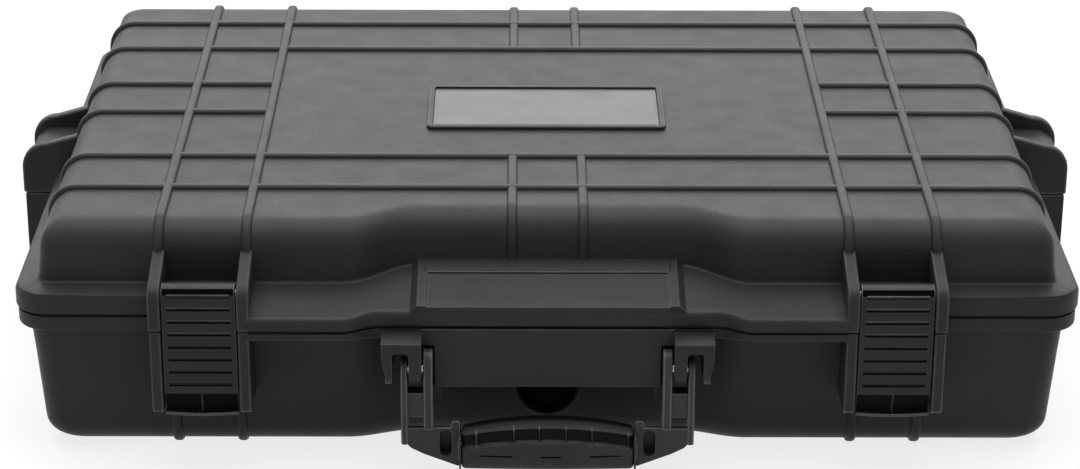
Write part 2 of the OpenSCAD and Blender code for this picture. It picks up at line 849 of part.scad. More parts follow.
base_shell();
lid_shell();
lid_seal();
name_plate();
base_foam();
lid_foam();
hinge_pin(-1);  // hinge_pin_left
hinge_pin(1);  // hinge_pin_right
latch_lever(-1);  // latch_left
latch_lever(1);  // latch_right
latch_pin(-1);  // latch_pin_left
latch_pin(1);  // latch_pin_right
handle_frame();
handle_grip();
handle_pin(-1);  // handle_pin_left
handle_pin(1);  // handle_pin_right
strap_bar(-1);  // strap_bar_left
strap_bar(1);  // strap_bar_right
valve_body();
valve_nut();
valve_seal();
valve_knob();
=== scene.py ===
"""Looks for the hard tool case: moulded shells, latches, handle, valve and padding, built round its frame.

Shapes are drawn in millimetres. x is measured from the middle, y from the front face of the flange and z
from the floor; piece() turns them into the frame's metres.
"""
import json
import math

import bmesh
import bpy
from mathutils import Matrix, Vector, noise


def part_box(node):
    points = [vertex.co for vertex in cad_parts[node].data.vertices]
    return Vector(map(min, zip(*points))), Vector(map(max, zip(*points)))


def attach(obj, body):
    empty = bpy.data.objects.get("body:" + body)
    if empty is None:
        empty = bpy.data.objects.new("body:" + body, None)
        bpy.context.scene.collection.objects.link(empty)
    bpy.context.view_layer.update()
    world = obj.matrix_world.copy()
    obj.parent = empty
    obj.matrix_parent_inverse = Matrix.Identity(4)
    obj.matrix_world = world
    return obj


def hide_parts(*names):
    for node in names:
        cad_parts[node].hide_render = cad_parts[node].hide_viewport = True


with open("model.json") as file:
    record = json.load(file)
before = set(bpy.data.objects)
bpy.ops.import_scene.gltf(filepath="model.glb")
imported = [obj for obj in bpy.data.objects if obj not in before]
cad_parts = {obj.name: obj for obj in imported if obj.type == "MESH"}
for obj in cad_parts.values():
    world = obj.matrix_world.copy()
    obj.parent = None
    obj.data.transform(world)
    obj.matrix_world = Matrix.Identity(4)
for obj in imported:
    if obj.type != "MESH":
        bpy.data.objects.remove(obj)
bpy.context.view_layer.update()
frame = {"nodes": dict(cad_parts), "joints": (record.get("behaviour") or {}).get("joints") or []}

MM = 0.001


# ---- measures ----

def joint_at(name):
    """Where a joint of the frame lies, in millimetres of the frame."""
    joint = next(j for j in frame["joints"] if j["name"] == name)
    return [1000 * v for v in joint["pos_m"]]


def node_box(name):
    """Lowest and highest corner of a CAD node, in millimetres, with y from the flange face."""
    low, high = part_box(name)
    return (low.x / MM, low.y / MM - FRONT_Y, low.z / MM), (high.x / MM, high.y / MM - FRONT_Y, high.z / MM)


# Plan, heights and walls
HINGE_OUT = 9.0
CASE_D = 352.0
HINGE_Y = CASE_D + HINGE_OUT
FRONT_Y = joint_at("lid_hinge")[1] - HINGE_Y
PARTING_Z = joint_at("lid_hinge")[2]
HALF_W = 253.0
WALL = 3.2
DRAFT = math.tan(math.radians(4.0))
SEAL_GAP = 0.25
LID_LOW = PARTING_Z + SEAL_GAP
LID_TOP = node_box("name_plate")[0][2]
LID_INSET = 10.5
LID_ROUND = 13.0
LID_RECESS = 15.0
BASE_LOW = 1.8
BASE_TOP = PARTING_Z - SEAL_GAP
BASE_INSET = 6.0
BASE_ROUND = 14.5
BASE_RECESS = 8.5
BASE_FRONT = BASE_INSET + BASE_RECESS
RECESS_HALF = 62
RECESS_EASE = 35

# Flange
FLANGE_EDGE = PARTING_Z + 10.4
FLANGE_LOW = PARTING_Z - 8.4
FLANGE_R = 17.0
FLANGE_STEP = 0.9
TIGHT_R = 6.5
BASE_CORNER = FLANGE_R - BASE_INSET
SLOPE = math.tan(math.radians(10.5))
WING_OUT = 19.0
WING_RISE = 4.0
WING_START = 80
WING_EASE = 16
MID_OUT = 12.5
PARTING_ROUND = 0.8
PARTING_RELIEF = 0.45

# Ribs and guards
RIB_W = 5.0
# Ribs get a faint share of edge wear and painted highlight.
RIB_WEAR_AND_HIGHLIGHT = 0.1
LID_RIB_H = 2.2
LID_ROWS = (60.6, 102.0, 260.9, 302.3)
STRAP_ROWS = (163.7, 205.1)
MID_RIB_X = 17.0
BASE_RIBS_X = (147.4, 178.6)
GUARD_T = 5.4
GUARD_OUT = 18.5
GUARD_LOW = 33.0
GUARD_CLEAR = 0.6
PAIR_X = 163.0
GUARD_GAP = 41.4
GUARD_IN_X = PAIR_X - GUARD_GAP / 2
GUARD_OUT_X = PAIR_X + GUARD_GAP / 2

# Latches, and the bores for pins that sit fast or turn
LATCH_OUT = 11.5
LATCH_Z = joint_at("latch_left_hinge")[2]
LEVER_HALF = 17.3
LEVER_FRONT = -LATCH_OUT - 5.0
SCOOP_TOP = GUARD_LOW + 11.5
SCOOP_LOW = GUARD_LOW + 1.2
SCOOP_DEEP = 3.2
LIP_BOW = 0.9
TIGHT_BORE = 2.05
LOOSE_BORE = 2.08

# Handle and valve
HANDLE_OUT = 15.5
HANDLE_Z = joint_at("handle_hinge")[2]
ARM_R = 5.5
GRIP_HALF = 40.8
GRIP_LOW = HANDLE_Z - 49.1
GRIP_H = 24.4
GRIP_DROP = 4.6
BAND = (0.71, 0.92)
WELL_Z = joint_at("valve_turn")[2]

ARC_STEPS = 8


# ---- drawing helpers ----

def ease(t):
    """A smooth step from 0 to 1."""
    return (1 - math.cos(math.pi * min(1.0, max(0.0, t)))) / 2


def arc(cx, cy, r, start, end, steps=ARC_STEPS):
    """Points on an arc, with angles in degrees."""
    angles = [math.radians(start + (end - start) * i / steps) for i in range(steps + 1)]
    return [(cx + r * math.cos(a), cy + r * math.sin(a)) for a in angles]


def box_outline(x0, y0, x1, y1, r):
    """A rectangle with rounded corners, anticlockwise."""
    return (arc(x1 - r, y0 + r, r, -90, 0) + arc(x1 - r, y1 - r, r, 0, 90)
            + arc(x0 + r, y1 - r, r, 90, 180) + arc(x0 + r, y0 + r, r, 180, 270))


def oblong(a0, b0, a1, b1):
    """A rectangle, anticlockwise."""
    return [(a0, b0), (a1, b0), (a1, b1), (a0, b1)]


def spread(a, b, at, axis):
    """The 3D point of a plate's outline: along x it holds (y, z), along y (x, z) and along z (x, y)."""
    if axis == "x":
        return (at, a, b)
    if axis == "y":
        return (a, at, b)
    return (a, b, at)


def wear_and_highlight_layer(mesh):
    """The layer that says how much each face gets rubbed and painted as a highlight; the materials read it.
    """
    layers = mesh.faces.layers.float
    return layers.get("wear_and_highlight") or layers.new("wear_and_highlight")


def bevel_sharp(mesh, width, segments=3, angle=25):
    """Round every edge of a mesh that turns by more than the angle, and mark the rounds as rubbed and as
    painted highlights.
    """
    wear_and_highlight = wear_and_highlight_layer(mesh)
    edges = [e for e in mesh.edges if len(e.link_faces) == 2 and e.calc_face_angle() > math.radians(angle)]
    made = bmesh.ops.bevel(mesh, geom=edges, offset=width, offset_type="OFFSET", segments=segments,
                           profile=0.5, affect="EDGES", clamp_overlap=True)
    for face in made["faces"]:
        face[wear_and_highlight] = 1.0


def mark_wear_and_highlight(mesh, share_of):
    """Mark how much each face gets rubbed and painted as a highlight, by a function of the face's centre."""
    wear_and_highlight = wear_and_highlight_layer(mesh)
    for face in mesh.faces:
        face[wear_and_highlight] = share_of(face.calc_center_median())
    return mesh


def skinned(rings):
    """A closed skin through rings of equal count, with flat ends."""
    mesh = bmesh.new()
    rows = [[mesh.verts.new(p) for p in ring] for ring in rings]
    count = len(rows[0])
    for low, high in zip(rows, rows[1:]):
        for i in range(count):
            j = (i + 1) % count
            mesh.faces.new((low[i], low[j], high[j], high[i]))
    mesh.faces.new(rows[0])
    mesh.faces.new(rows[-1])
    bmesh.ops.recalc_face_normals(mesh, faces=mesh.faces)
    return mesh


def plate(shape, low, high, axis, bevel=0.0, segments=3):
    """A closed outline carried along an axis from low to high, with rounded rims."""
    mesh = skinned([[spread(a, b, at, axis) for a, b in shape] for at in (low, high)])
    if bevel:
        bevel_sharp(mesh, bevel, segments)
    return mesh


def rod(a, b, r, low, high, axis, bevel=0.0, steps=40):
    """A round bar along an axis, centred on (a, b) of its cross plane."""
    return plate(arc(a, b, r, 0, 360 - 360 / steps, steps - 1), low, high, axis, bevel)


def curve_rings(first, middle, last, steps=4):
    """Rings along a quadratic curve from first to last, pulled towards middle."""
    rings = []
    for s in range(steps + 1):
        t = s / steps
        rings.append([tuple((1 - t) ** 2 * a + 2 * t * (1 - t) * b + t * t * c for a, b, c in zip(p, q, r))
                      for p, q, r in zip(first, middle, last)])
    return rings


def combined(meshes):
    """One mesh that holds several."""
    total = bmesh.new()
    for mesh in meshes:
        carried = bpy.data.meshes.new("carried")
        mesh.to_mesh(carried)
        mesh.free()
        total.from_mesh(carried)
        bpy.data.meshes.remove(carried)
    return total


def placed(name, data):
    """A new object in the scene."""
    obj = bpy.data.objects.new(name, data)
    bpy.context.scene.collection.objects.link(obj)
    return obj


def boolean(mesh, tool, operation):
    """The mesh after a boolean with a tool mesh."""
    objects = []
    for part in (mesh, tool):
        data = bpy.data.meshes.new("boolean")
        part.to_mesh(data)
        part.free()
        objects.append(placed("boolean", data))
    modifier = objects[0].modifiers.new("cut", "BOOLEAN")
    modifier.object = objects[1]
    modifier.operation = operation
    modifier.solver = "EXACT"
    finished = objects[0].evaluated_get(bpy.context.evaluated_depsgraph_get())
    result = bpy.data.meshes.new_from_object(finished)
    out = bmesh.new()
    out.from_mesh(result)
    for obj in objects:
        bpy.data.meshes.remove(obj.data)
    bpy.data.meshes.remove(result)
    return out


def mirrored(mesh):
    """The mesh and its mirror image in the middle plane."""
    twin = mesh.copy()
    for vert in twin.verts:
        vert.co.x = -vert.co.x
    bmesh.ops.reverse_faces(twin, faces=twin.faces)
    return combined([mesh, twin])


def on_slope(mesh):
    """A mesh drawn level at the origin, moved onto the sloping top of the flange."""
    tilt = Matrix.Translation((0, 0, FLANGE_EDGE)) @ Matrix.Rotation(math.atan(SLOPE), 4, "X")
    bmesh.ops.transform(mesh, matrix=tilt, verts=mesh.verts)
    return mesh


def piece(name, mesh, material, body, replaced=()):
    """Make an object of a drawing, give it its material and hang it on its CAD body."""
    for vert in mesh.verts:
        vert.co = Vector((vert.co.x, vert.co.y + FRONT_Y, vert.co.z)) * MM
    data = bpy.data.meshes.new(name)
    mesh.to_mesh(data)
    mesh.free()
    data.materials.append(material)
    data.shade_smooth()
    data.set_sharp_from_angle(angle=math.radians(40))
    obj = placed(name, data)
    weighted = obj.modifiers.new("normals", "WEIGHTED_NORMAL")
    weighted.keep_sharp = True
    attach(obj, body)
    if replaced:
        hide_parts(*replaced)
    return obj


# ---- materials ----

def nodes_of(name):
    """A new material with its node tree and its main shader."""
    material = bpy.data.materials.new(name)
    material.use_nodes = True
    tree = material.node_tree
    return material, tree, tree.nodes["Principled BSDF"]


def connect(socket, value):
    """Link an input to another socket, or give it a plain value."""
    if isinstance(value, bpy.types.NodeSocket):
        socket.id_data.links.new(value, socket)
    else:
        socket.default_value = value


def feed(node, **inputs):
    """Connect inputs of a node by their names, with _ for a space."""
    for name, value in inputs.items():
        connect(node.inputs[name.replace("_", " ")], value)
    return node


def add(tree, kind, **inputs):
    """A new shader node of a kind, with its inputs connected."""
    return feed(tree.nodes.new("ShaderNode" + kind), **inputs)


def object_space(tree):
    """Coordinates in the object's own space, in metres."""
    return add(tree, "TexCoord").outputs["Object"]


def noise_node(tree, coordinates, scale, detail):
    """Noise, with its scale in cells per metre."""
    return add(tree, "TexNoise", Vector=coordinates, Scale=scale, Detail=detail).outputs["Fac"]


def cells_node(tree, coordinates, scale):
    """Irregular cells, with 0 in the middle of each and more towards its rim."""
    return add(tree, "TexVoronoi", Vector=coordinates, Scale=scale).outputs["Distance"]


def math_node(tree, operation, *values):
    """A calculation on values that are sockets or numbers."""
    made = add(tree, "Math")
    made.operation = operation
    for socket, value in zip(made.inputs, values):
        connect(socket, value)
    return made.outputs["Value"]


def mapped(tree, source, start, end, low=0.0, high=1.0):
    """Map what lies between start and end onto low to high."""
    made = add(tree, "MapRange", Value=source, From_Min=start, From_Max=end, To_Min=low, To_Max=high)
    return made.outputs["Result"]


def noise_range(tree, coordinates, scale, detail, low, high):
    """Noise whose middle values run from low to high."""
    return mapped(tree, noise_node(tree, coordinates, scale, detail), 0.3, 0.7, low, high)


def ramp(tree, source, low, high):
    """A colour ramp from one colour to another over the middle of its input."""
    made = add(tree, "ValToRGB", Fac=source)
    for stop, position, color in zip(made.color_ramp.elements, (0.35, 0.65), (low, high)):
        stop.position = position
        stop.color = (*color, 1)
    return made.outputs["Color"]


def edge_wear_and_highlight(tree, coordinates):
    """0 on open faces and up to 1 on rounded edges, uneven as where hands and floors have rubbed, and also a
    painted highlight along the edges.
    """
    edge = add(tree, "Attribute")
    edge.attribute_name = "wear_and_highlight"
    uneven = noise_range(tree, coordinates, 45.0, 5.0, 0.35, 1.0)
    return math_node(tree, "MULTIPLY", edge.outputs["Fac"], uneven)


def mixed(tree, share, first, second, kind="RGBA"):
    """Mix two colours (kind RGBA) or two values (kind FLOAT) by a share."""
    made = add(tree, "Mix")
    made.data_type = kind
    feed(made, Factor=share)
    socket_type = "VALUE" if kind == "FLOAT" else kind
    ends = [socket for socket in made.inputs if socket.type == socket_type][-2:]
    for socket, value in zip(ends, (first, second)):
        connect(socket, value)
    return next(socket for socket in made.outputs if socket.type == socket_type)


def roughen(tree, shader, height, strength, depth):
    """Give a shader relief from a height value; depth is in metres."""
    bump = add(tree, "Bump", Strength=strength, Distance=depth, Height=height)
    feed(shader, Normal=bump.outputs["Normal"])


def moulded(name, low, high, rough, gloss, grain_scale, grain_depth, worn_and_highlit=0.045):
    """Moulded plastic or rubber: cloudy colour, fine grain, slow changes of gloss, and paler edges that are
    partly rubbed and partly painted highlight.
    """
    material, tree, shader = nodes_of(name)
    coordinates = object_space(tree)
    wear_and_highlight_share = edge_wear_and_highlight(tree, coordinates)
    tone = ramp(tree, noise_node(tree, coordinates, 14.0, 3.0), low, high)
    dull = noise_range(tree, coordinates, 60.0, 6.0, *rough)
    # Paler, glossier edges: edge wear and a painted highlight together.
    feed(shader, Base_Color=mixed(tree, wear_and_highlight_share, tone, (worn_and_highlit, worn_and_highlit, worn_and_highlit * 1.03, 1)),
         Roughness=mixed(tree, wear_and_highlight_share, dull, rough[0] - 0.12, "FLOAT"), Specular_IOR_Level=gloss)
    grain = noise_node(tree, coordinates, grain_scale, 3.0)
    pits = cells_node(tree, coordinates, grain_scale * 1.4)
    roughen(tree, shader, math_node(tree, "MULTIPLY_ADD", pits, 0.6, grain), 0.5, grain_depth)
    return material


def finger_band(tree, height):
    """1 in the grip's finger band and 0 outside it, by the height over the grip's arch."""
    soft = 0.03
    band = add(tree, "ValToRGB", Fac=height)
    band.color_ramp.elements[0].position = BAND[0] - soft
    band.color_ramp.elements[1].position = BAND[0] + soft
    for position, shade in ((BAND[1] - soft, 1.0), (BAND[1] + soft, 0.0)):
        band.color_ramp.elements.new(position).color = (shade, shade, shade, 1)
    return band.outputs["Color"]


def grip_material():
    """The grip's rubber, darker in the finger band that follows its arch, and with painted shade on the back
    of its top.
    """
    material = moulded("grip_rubber", (0.012, 0.012, 0.012), (0.017, 0.017, 0.017), rough=(0.56, 0.68),
                       gloss=0.26, grain_scale=1200.0, grain_depth=0.0003, worn_and_highlit=0.09)
    tree = material.node_tree
    shader = tree.nodes["Principled BSDF"]
    coordinates = tree.nodes["Texture Coordinate"].outputs["Object"]
    place = add(tree, "SeparateXYZ", Vector=coordinates).outputs
    square = math_node(tree, "MULTIPLY", place["X"], place["X"])
    sag = GRIP_DROP * MM / (GRIP_HALF * MM) ** 2
    arched = math_node(tree, "MULTIPLY_ADD", square, sag, place["Z"])
    height = mapped(tree, arched, GRIP_LOW * MM, (GRIP_LOW + GRIP_H) * MM)
    axis_y = FRONT_Y - HANDLE_OUT
    behind = mapped(tree, place["Y"], (axis_y - 6) * MM, (axis_y - 3) * MM)
    # Painted shade: the back of the grip's top is darkened where it lies in shade under the apron.
    painted_shade_back = math_node(tree, "MULTIPLY", behind, mapped(tree, height, 0.88, 0.94))
    dark = math_node(tree, "MAXIMUM", finger_band(tree, height), painted_shade_back)
    # Painted highlights on webs and edges stay pale over the band and the painted shade.
    band_and_shade_off_highlights = math_node(tree, "SUBTRACT", dark, edge_wear_and_highlight(tree, coordinates))
    band_and_shade_off_highlights.node.use_clamp = True
    color = shader.inputs["Base Color"].links[0].from_socket
    roughness = shader.inputs["Roughness"].links[0].from_socket
    gloss = shader.inputs["Specular IOR Level"].default_value
    feed(shader, Base_Color=mixed(tree, band_and_shade_off_highlights, color, (0.004, 0.004, 0.004, 1)),
         Roughness=mixed(tree, band_and_shade_off_highlights, roughness, 0.30, "FLOAT"),
         Specular_IOR_Level=mixed(tree, band_and_shade_off_highlights, gloss, 0.05, "FLOAT"))
    return material


def foam_material():
    """Open-cell foam: dark pores, almost no gloss."""
    material, tree, shader = nodes_of("foam")
    pores = cells_node(tree, object_space(tree), 900.0)
    feed(shader, Base_Color=ramp(tree, pores, (0.012, 0.012, 0.013), (0.040, 0.040, 0.043)),
         Roughness=0.95, Specular_IOR_Level=0.15)
    roughen(tree, shader, pores, 0.9, 0.0008)
    return material


def steel_material():
    """Drawn steel wire: bright, with fine streaks along the bar and small dull patches."""
    material, tree, shader = nodes_of("drawn_steel")
    coordinates = object_space(tree)
    stretched = add(tree, "Mapping", Vector=coordinates, Scale=(60.0, 60.0, 2500.0)).outputs["Vector"]
    streaks = noise_node(tree, stretched, 1.0, 2.0)
    feed(shader, Base_Color=ramp(tree, streaks, (0.46, 0.46, 0.47), (0.62, 0.62, 0.63)), Metallic=1.0,
         Roughness=noise_range(tree, coordinates, 300.0, 4.0, 0.22, 0.38))
    return material


SHELL = moulded("shell_plastic", (0.0145, 0.0145, 0.0152), (0.0175, 0.0175, 0.0182), rough=(0.42, 0.50),
                gloss=0.17, grain_scale=1600.0, grain_depth=0.00025)
LEVER = moulded("lever_plastic", (0.006, 0.006, 0.0064), (0.009, 0.009, 0.0095), rough=(0.34, 0.44),
                gloss=0.24, grain_scale=2400.0, grain_depth=0.00012, worn_and_highlit=0.06)
HANDLE = moulded("handle_plastic", (0.014, 0.014, 0.015), (0.020, 0.020, 0.021), rough=(0.40, 0.50),
                 gloss=0.28, grain_scale=2000.0, grain_depth=0.00016, worn_and_highlit=0.10)
RUBBER = grip_material()
SEAL = moulded("seal_rubber", (0.010, 0.010, 0.010), (0.015, 0.015, 0.015), rough=(0.50, 0.62),
               gloss=0.35, grain_scale=900.0, grain_depth=0.0002)
# Near-black matt sheets that paint the shade in the levers' scoops and necks.
SHADE_SHEET = moulded("lining_plastic", (0.002, 0.002, 0.002), (0.004, 0.004, 0.004), rough=(0.60, 0.70),
                 gloss=0.04, grain_scale=900.0, grain_depth=0.0003)
VALVE = moulded("valve_plastic", (0.0015, 0.0015, 0.0015), (0.003, 0.003, 0.003), rough=(0.50, 0.60),
                gloss=0.04, grain_scale=2400.0, grain_depth=0.0001, worn_and_highlit=0.008)
BADGE = moulded("badge_plastic", (0.024, 0.024, 0.025), (0.028, 0.028, 0.029), rough=(0.38, 0.44),
                gloss=0.46, grain_scale=3200.0, grain_depth=0.00005)
FOAM = foam_material()
STEEL = steel_material()


# ---- plan outlines and skins ----

def recess_at(x):
    """How far the front wall is set back at x, as a share of the full recess."""
    return 1 - ease((abs(x) - RECESS_HALF) / RECESS_EASE)


def flange_front(x):
    """How far in front of the flange face the edge of the flange lies at x, as a y value."""
    if abs(x) > GUARD_IN_X + 2:
        return 0.0
    if abs(x) > GUARD_IN_X - 2:
        return -WING_OUT * ease((GUARD_IN_X + 2 - abs(x)) / 4)
    return -MID_OUT - (WING_OUT - MID_OUT) * ease((abs(x) - WING_START) / WING_EASE)


# Where the front edge is sampled, closer together where it turns
FRONT_X = ([0, 10, 20, 30, 40, 50, 58] + [RECESS_HALF + 2.5 * i for i in range(18)] + [112, 126]
           + [GUARD_IN_X - 2.5 + i for i in range(6)] + [160, 185, 205])


def outline(inset, front, corner=None):
    """Points (x, y, reach) round a plan; front gives y for x, reach tells how far inside the flange."""
    corner = corner or max(FLANGE_R - inset, TIGHT_R)
    side = HALF_W - inset
    corner_x = side - corner
    front_y = front(corner_x)
    back = CASE_D - inset
    half = [(x, front(x), front(x)) for x in FRONT_X]
    half += [(x, y, inset) for x, y in arc(corner_x, front_y + corner, corner, -90, 0, 12)]
    straight = back - front_y - 2 * corner
    half += [(side, front_y + corner + straight * i / 8, inset) for i in range(1, 8)]
    half += [(x, y, inset) for x, y in arc(corner_x, back - corner, corner, 0, 90, 12)]
    half += [(corner_x * (1 - i / 10), back, inset) for i in range(1, 11)]
    return half + [(-x, y, reach) for x, y, reach in half[-2:0:-1]]


def flat_ring(inset, front, z, corner=None):
    """A ring at one height round a plan."""
    return [(x, y, z) for x, y, _ in outline(inset, front, corner)]


def level(inset, recess, z, corner=None):
    """A ring at one height, with the front set back by the recess."""
    return flat_ring(inset, lambda x: inset + recess * recess_at(x), z, corner)


def slope_ring(inset, share):
    """A ring on the sloping flange top, from its edge (share 0) to the foot of the wall (share 1)."""
    def front(x):
        foot = inset + LID_RECESS * recess_at(x)
        return flange_front(x) * (1 - share) + foot * share
    return [(x, y, FLANGE_EDGE + reach * SLOPE) for x, y, reach in outline(inset, front)]


def foot_ring(inset, lift):
    """A ring that keeps an even distance from the lid's wall, at a height over the sloping flange top."""
    ring = outline(inset, lambda x: inset + LID_RECESS * recess_at(x))
    return [(x, y, FLANGE_EDGE + reach * SLOPE + lift) for x, y, reach in ring]


def edge_ring(z_of, step=0.0):
    """A ring on the upright edge of the flange, at a height that depends on how far it reaches forward."""
    return [(x, y, z_of(reach)) for x, y, reach in outline(step, lambda x: flange_front(x) + step)]


def wall_inset(z):
    """How far the lid's drafted wall is inside the flange edge at a height."""
    return LID_INSET + (z - LID_LOW) * DRAFT


def base_wall_inset(z):
    """The same for the base's wall."""
    return BASE_INSET + (BASE_TOP - z) * DRAFT


def round_rings(inset_of, z_closed, radius, recess, up, corner=None):
    """Rings over the rounded edge where a drafted wall turns into the closed face of its shell."""
    centre_z = z_closed - up * radius
    start = inset_of(centre_z) + radius / math.cos(math.atan(DRAFT))
    rings = []
    for i in range(11):
        a = math.radians(4 + 86 * i / 10)
        inset = start - radius * math.cos(a)
        rings.append(level(inset, recess, centre_z + up * radius * math.sin(a), corner))
    rings.append(level(start + 1.5, recess, z_closed, corner))
    return rings


def lip_rings(step, z, up):
    """The rounded lip of a flange, relieved outside the seal so that a dark parting line shows."""
    relief_in = 2.1
    lip_z = z + up * PARTING_RELIEF
    ring = lambda inset, height: edge_ring(lambda reach: height, inset)
    rounded = curve_rings(ring(step, lip_z + up * PARTING_ROUND), ring(step, lip_z),
                          ring(step + PARTING_ROUND, lip_z), 2)
    return rounded + [ring(relief_in, lip_z), ring(relief_in, z)]


def groove_rings():
    """Rings of the groove that holds the seal, in the underside of the lid."""
    outer, inner, deep = 2.4, 6.7, 3
    path = ((outer, LID_LOW), (outer, LID_LOW + deep), (inner, LID_LOW + deep), (inner, LID_LOW))
    return [flat_ring(inset, lambda x: inset, z) for inset, z in path]


def lid_skin():
    """The lid's skin: over the top, out on the flange, round its lip and the seal groove, and up inside."""
    fillet = 1.5
    edge_round = 2.8
    foot = wall_inset(FLANGE_EDGE + LID_INSET * SLOPE)
    top_z = lambda reach: FLANGE_EDGE + reach * SLOPE
    side_z = lambda reach: FLANGE_EDGE - edge_round + reach * SLOPE
    inner = lambda z: wall_inset(z) + WALL
    rings = round_rings(wall_inset, LID_TOP, LID_ROUND, LID_RECESS, 1)[::-1]
    rings += curve_rings(foot_ring(foot + fillet * DRAFT, fillet), foot_ring(foot, 0),
                         foot_ring(foot - fillet, 0))
    rings += [slope_ring(foot * share, share) for share in (0.6, 0.4)]
    rings += curve_rings(slope_ring(edge_round, 0.12), edge_ring(top_z), edge_ring(side_z), 6)
    rings += lip_rings(0.0, LID_LOW, 1)
    rings += groove_rings()
    rings += [level(inner(LID_LOW), LID_RECESS, LID_LOW)]
    rings += round_rings(inner, LID_TOP - WALL, LID_ROUND - WALL, LID_RECESS, 1)
    return skinned(rings)


def base_skin():
    """The base's skin: up from the floor, out on the flange, round its lip, and down inside."""
    fillet = 2.0
    rim_round = 1.6
    top_inset = base_wall_inset(FLANGE_LOW)
    under = lambda x: (top_inset + BASE_RECESS * recess_at(x)) * 0.6
    low_z = lambda reach: FLANGE_LOW - WING_RISE * min(reach, 0) / WING_OUT
    side_z = lambda reach: low_z(reach) + rim_round
    inner = lambda z: base_wall_inset(z) + WALL
    rings = round_rings(base_wall_inset, BASE_LOW, BASE_ROUND, BASE_RECESS, -1, BASE_CORNER)[::-1]
    rings += [level(base_wall_inset(z), BASE_RECESS, z, BASE_CORNER) for z in (35, 50)]
    rings += curve_rings(level(top_inset, BASE_RECESS, FLANGE_LOW - fillet, BASE_CORNER),
                         level(top_inset, BASE_RECESS, FLANGE_LOW, BASE_CORNER),
                         flat_ring(top_inset - fillet, under, FLANGE_LOW))
    rings += curve_rings(edge_ring(low_z, FLANGE_STEP + rim_round), edge_ring(low_z, FLANGE_STEP),
                         edge_ring(side_z, FLANGE_STEP))
    rings += lip_rings(FLANGE_STEP, BASE_TOP, -1)
    rings += [level(inner(BASE_TOP), BASE_RECESS, BASE_TOP, BASE_CORNER - WALL)]
    rings += round_rings(inner, BASE_LOW + WALL, BASE_ROUND - WALL, BASE_RECESS, -1, BASE_CORNER - WALL)
    return skinned(rings)


# ---- ribs and guards ----

def section_path(low, high, inset_of, z_open, z_closed, radius, up, grow):
    """The path over a shell's section from one foot to the other, grown outwards."""
    centre_z = z_closed - up * radius
    r = radius + grow
    back = inset_of(centre_z) + radius
    turn = [(r * math.cos(a), centre_z + up * r * math.sin(a)) for a in map(math.radians, range(4, 91, 8))]
    near = [(low + back - across, z) for across, z in turn]
    far = [(high - back + across, z) for across, z in reversed(turn)]
    foot_near = low + inset_of(z_open) - grow
    foot_far = high - inset_of(z_open) + grow
    return [(foot_near, z_open)] + near + far + [(foot_far, z_open)]


def rib(at, axis, low, high, shell, height, keep=None):
    """A round-edged rib over a shell's section, at a place along its axis; keep cuts it off to a stretch."""
    sink = 1.0
    round_over = 1.8
    round_steps = 5
    z_closed = shell[2]
    pairs = list(zip(section_path(low, high, *shell, -sink), section_path(low, high, *shell, height)))
    if keep:
        pairs = [pair for pair in pairs if keep[0] <= pair[1][0] <= keep[1]]
        if low < keep[0]:
            pairs.insert(0, ((keep[0], z_closed - sink), (keep[0], z_closed + height)))
        if high > keep[1]:
            pairs.append(((keep[1], z_closed - sink), (keep[1], z_closed + height)))
    side = [(-RIB_W / 2, 0.0)]
    for i in range(round_steps + 1):
        a = math.radians(90 * i / round_steps)
        side.append((-RIB_W / 2 + round_over * (1 - math.cos(a)),
                     1 - round_over * (1 - math.sin(a)) / (height + sink)))
    section = side + [(-across, share) for across, share in reversed(side)]
    rings = [[spread(a0 + (a1 - a0) * share, b0 + (b1 - b0) * share, at + across, axis)
              for across, share in section] for (a0, b0), (a1, b1) in pairs]
    # The rib's faces carry the faint wear and painted highlight.
    return mark_wear_and_highlight(skinned(rings), lambda centre: RIB_WEAR_AND_HIGHLIGHT)


def lid_ribs():
    """Long cross ribs over the lid, and a hair lower the rows between them, which so run into them."""
    shell = (wall_inset, LID_LOW + 8, LID_TOP, LID_ROUND, 1)
    row_h = LID_RIB_H - 0.25
    mid_h = LID_RIB_H - 0.5
    ribs = [rib(side * x, "x", 0, CASE_D, shell, LID_RIB_H)
            for side in (-1, 1) for x in (GUARD_IN_X, GUARD_OUT_X)]
    ribs += [rib(y, "y", -HALF_W, HALF_W, shell, row_h) for y in LID_ROWS]
    ribs += [rib(y, "y", -HALF_W, HALF_W, shell, row_h, keep)
             for y in STRAP_ROWS for keep in ((-HALF_W, -GUARD_IN_X), (GUARD_IN_X, HALF_W))]
    ribs += [rib(x, "x", LID_RECESS, CASE_D, shell, mid_h, keep)
             for x in (-MID_RIB_X, MID_RIB_X) for keep in ((0, LID_ROWS[1]), (LID_ROWS[2], CASE_D))]
    return combined(ribs)


def base_ribs():
    """The four ribs under the base are its feet."""
    shell = (base_wall_inset, FLANGE_LOW, BASE_LOW, BASE_ROUND, -1)
    return combined([rib(side * x, "x", 0, CASE_D, shell, BASE_LOW)
                     for side in (-1, 1) for x in BASE_RIBS_X])


def lid_guard_outline(low_z, top_z, r):
    """Side view of a guard on the lid: out is negative, the flange face is at 0."""
    root = LID_INSET + WALL
    return ([(root, LID_LOW + 2), (root, FLANGE_EDGE + 19.4)] + arc(-GUARD_OUT + r, top_z - r, r, 90, 180)
            + [(-GUARD_OUT, low_z), (-GUARD_CLEAR, low_z), (-GUARD_CLEAR, LID_LOW + 2)])


def base_guard_outline(top_z):
    """Side view of a guard on the base."""
    root = BASE_INSET + WALL
    out = -GUARD_OUT + FLANGE_STEP
    r = 3.5
    return ([(root, GUARD_LOW), (root, BASE_TOP - 2), (-GUARD_CLEAR, BASE_TOP - 2), (-GUARD_CLEAR, top_z),
             (out, top_z)] + arc(out + r, GUARD_LOW + r, r, 180, 270))


